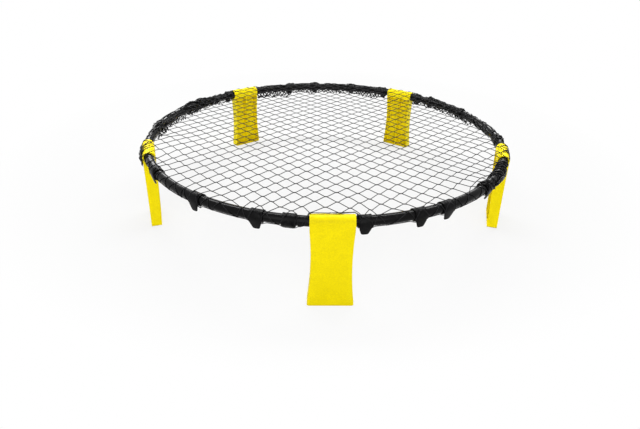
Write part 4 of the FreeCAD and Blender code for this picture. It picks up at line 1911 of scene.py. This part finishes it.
@dataclass
class NetSet:
    """The whole net: the playing net in place of the frame's flat one, and its surplus."""

    layout: RingLayout
    contact: RimContact
    twine_sides: int = 5
    cord_sides: int = 8
    seed: int = 41

    def build(self, twine_finish: Material, cord_finish: Material) -> None:
        """Build both pieces.

        Args:
            twine_finish: Material of the playing net.
            cord_finish: Material of the surplus.
        """
        net = PlayingNet(self.layout, self.contact)
        weaver = NetWeaver(self.contact.twine, net.knot_length, net.knot_radius)
        rng = np.random.default_rng(self.seed)
        paths, knots, lies = net.paths(rng)
        cords = [np.ones(len(path)) for path in paths]
        piece = weaver.weave("playing_net", paths, cords, knots, lies, self.twine_sides, twine_finish)
        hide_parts("net")
        loose = SurplusNet(self.layout, self.contact).paths(rng)
        paths, cords = [path for path, _ in loose], [cord for _, cord in loose]
        none = np.zeros((0, 3))
        weaver.weave("surplus_net", paths, cords, none, none, self.cord_sides, cord_finish)


# ---------------------------------------------------------------- studio


@dataclass(frozen=True)
class SoftLamp:
    """A soft rectangular lamp: where it hangs, its width and height, and its power in watts."""

    name: str
    place: Place
    size: Pair
    power: float

    def hang(self, target: Vector) -> None:
        """Hang the lamp.

        Args:
            target: What it points at.
        """
        data = bpy.data.lights.new(self.name, "AREA")
        data.shape = "RECTANGLE"
        data.size, data.size_y = self.size
        data.energy = self.power
        lamp = bpy.data.objects.new(self.name, data)
        lamp.location = self.place
        lamp.rotation_mode = "QUATERNION"
        lamp.rotation_quaternion = (target - Vector(self.place)).to_track_quat("-Z", "Y")
        bpy.context.scene.collection.objects.link(lamp)


@dataclass
class Studio:
    """The white floor, the soft lamps and the camera."""

    finish: StudioWhite
    camera_place: Place = (-0.0410, -1.0979, 0.593)
    camera_yaw: float = 0.0280
    camera_pitch: float = 0.5461
    camera_roll: float = 0.0208
    lens: float = 24.76
    sensor_width: float = 36.0
    floor_size: float = 40.0
    aim: Place = (0, 0, 0.12)
    lamps: tuple[SoftLamp, ...] = (
        SoftLamp("overhead", (0.0, 0.75, 1.9), (2.6, 0.34), 66.0),
        SoftLamp("behind_left", (-1.45, 2.4, 1.15), (1.1, 0.6), 22.0),
        SoftLamp("behind_right", (1.45, 2.4, 1.15), (1.1, 0.6), 13.0),
        SoftLamp("front_left", (-0.8, -4.6, 2.6), (4.6, 4.6), 120.0),
        SoftLamp("front_right", (0.9, -4.4, 2.3), (3.8, 4.0), 66.0),
    )

    def _floor(self) -> None:
        """Lay the floor."""
        half = self.floor_size / 2
        mesh = bpy.data.meshes.new("studio_floor")
        corners = [(-half, -half, 0), (half, -half, 0), (half, half, 0), (-half, half, 0)]
        mesh.from_pydata(corners, [], [(0, 1, 2, 3)])
        mesh.materials.append(self.finish.floor_material())
        add_piece("studio_floor", mesh)

    def _camera(self) -> None:
        """Set up the camera."""
        data = bpy.data.cameras.new("camera")
        data.lens = self.lens
        data.sensor_width = self.sensor_width
        camera = bpy.data.objects.new("camera", data)
        yaw, pitch, roll = self.camera_yaw, self.camera_pitch, self.camera_roll
        level = math.cos(pitch)
        ahead = Vector((math.sin(yaw) * level, math.cos(yaw) * level, -math.sin(pitch)))
        right = Vector((math.cos(yaw), -math.sin(yaw), 0))
        up = right.cross(ahead)
        turned = right * math.cos(roll) + up * math.sin(roll)
        upright = up * math.cos(roll) - right * math.sin(roll)
        camera.rotation_mode = "QUATERNION"
        camera.rotation_quaternion = Matrix((turned, upright, -ahead)).transposed().to_quaternion()
        camera.location = self.camera_place
        bpy.context.scene.collection.objects.link(camera)
        bpy.context.scene.camera = camera

    def build(self) -> None:
        """Build the studio."""
        self._floor()
        for lamp in self.lamps:
            lamp.hang(Vector(self.aim))
        bpy.context.scene.world = self.finish.world()
        bpy.context.scene.view_settings.view_transform = "Standard"
        self._camera()


def main() -> None:
    """Build the studio and every piece of the set."""
    layout = RingLayout()
    Studio(StudioWhite()).build()
    RimTubes(layout).build(SatinBlack().material())
    legs = FoldingLegs(layout)
    legs.build(MouldedYellow().material())
    hooks = NetHooks(layout)
    hooks.build(GrainedBlack().material())
    NetSet(layout, RimContact(layout, hooks, legs)).build(DarkTwine().material(), PressedNet().material())


if __name__ == "__main__":
    main()
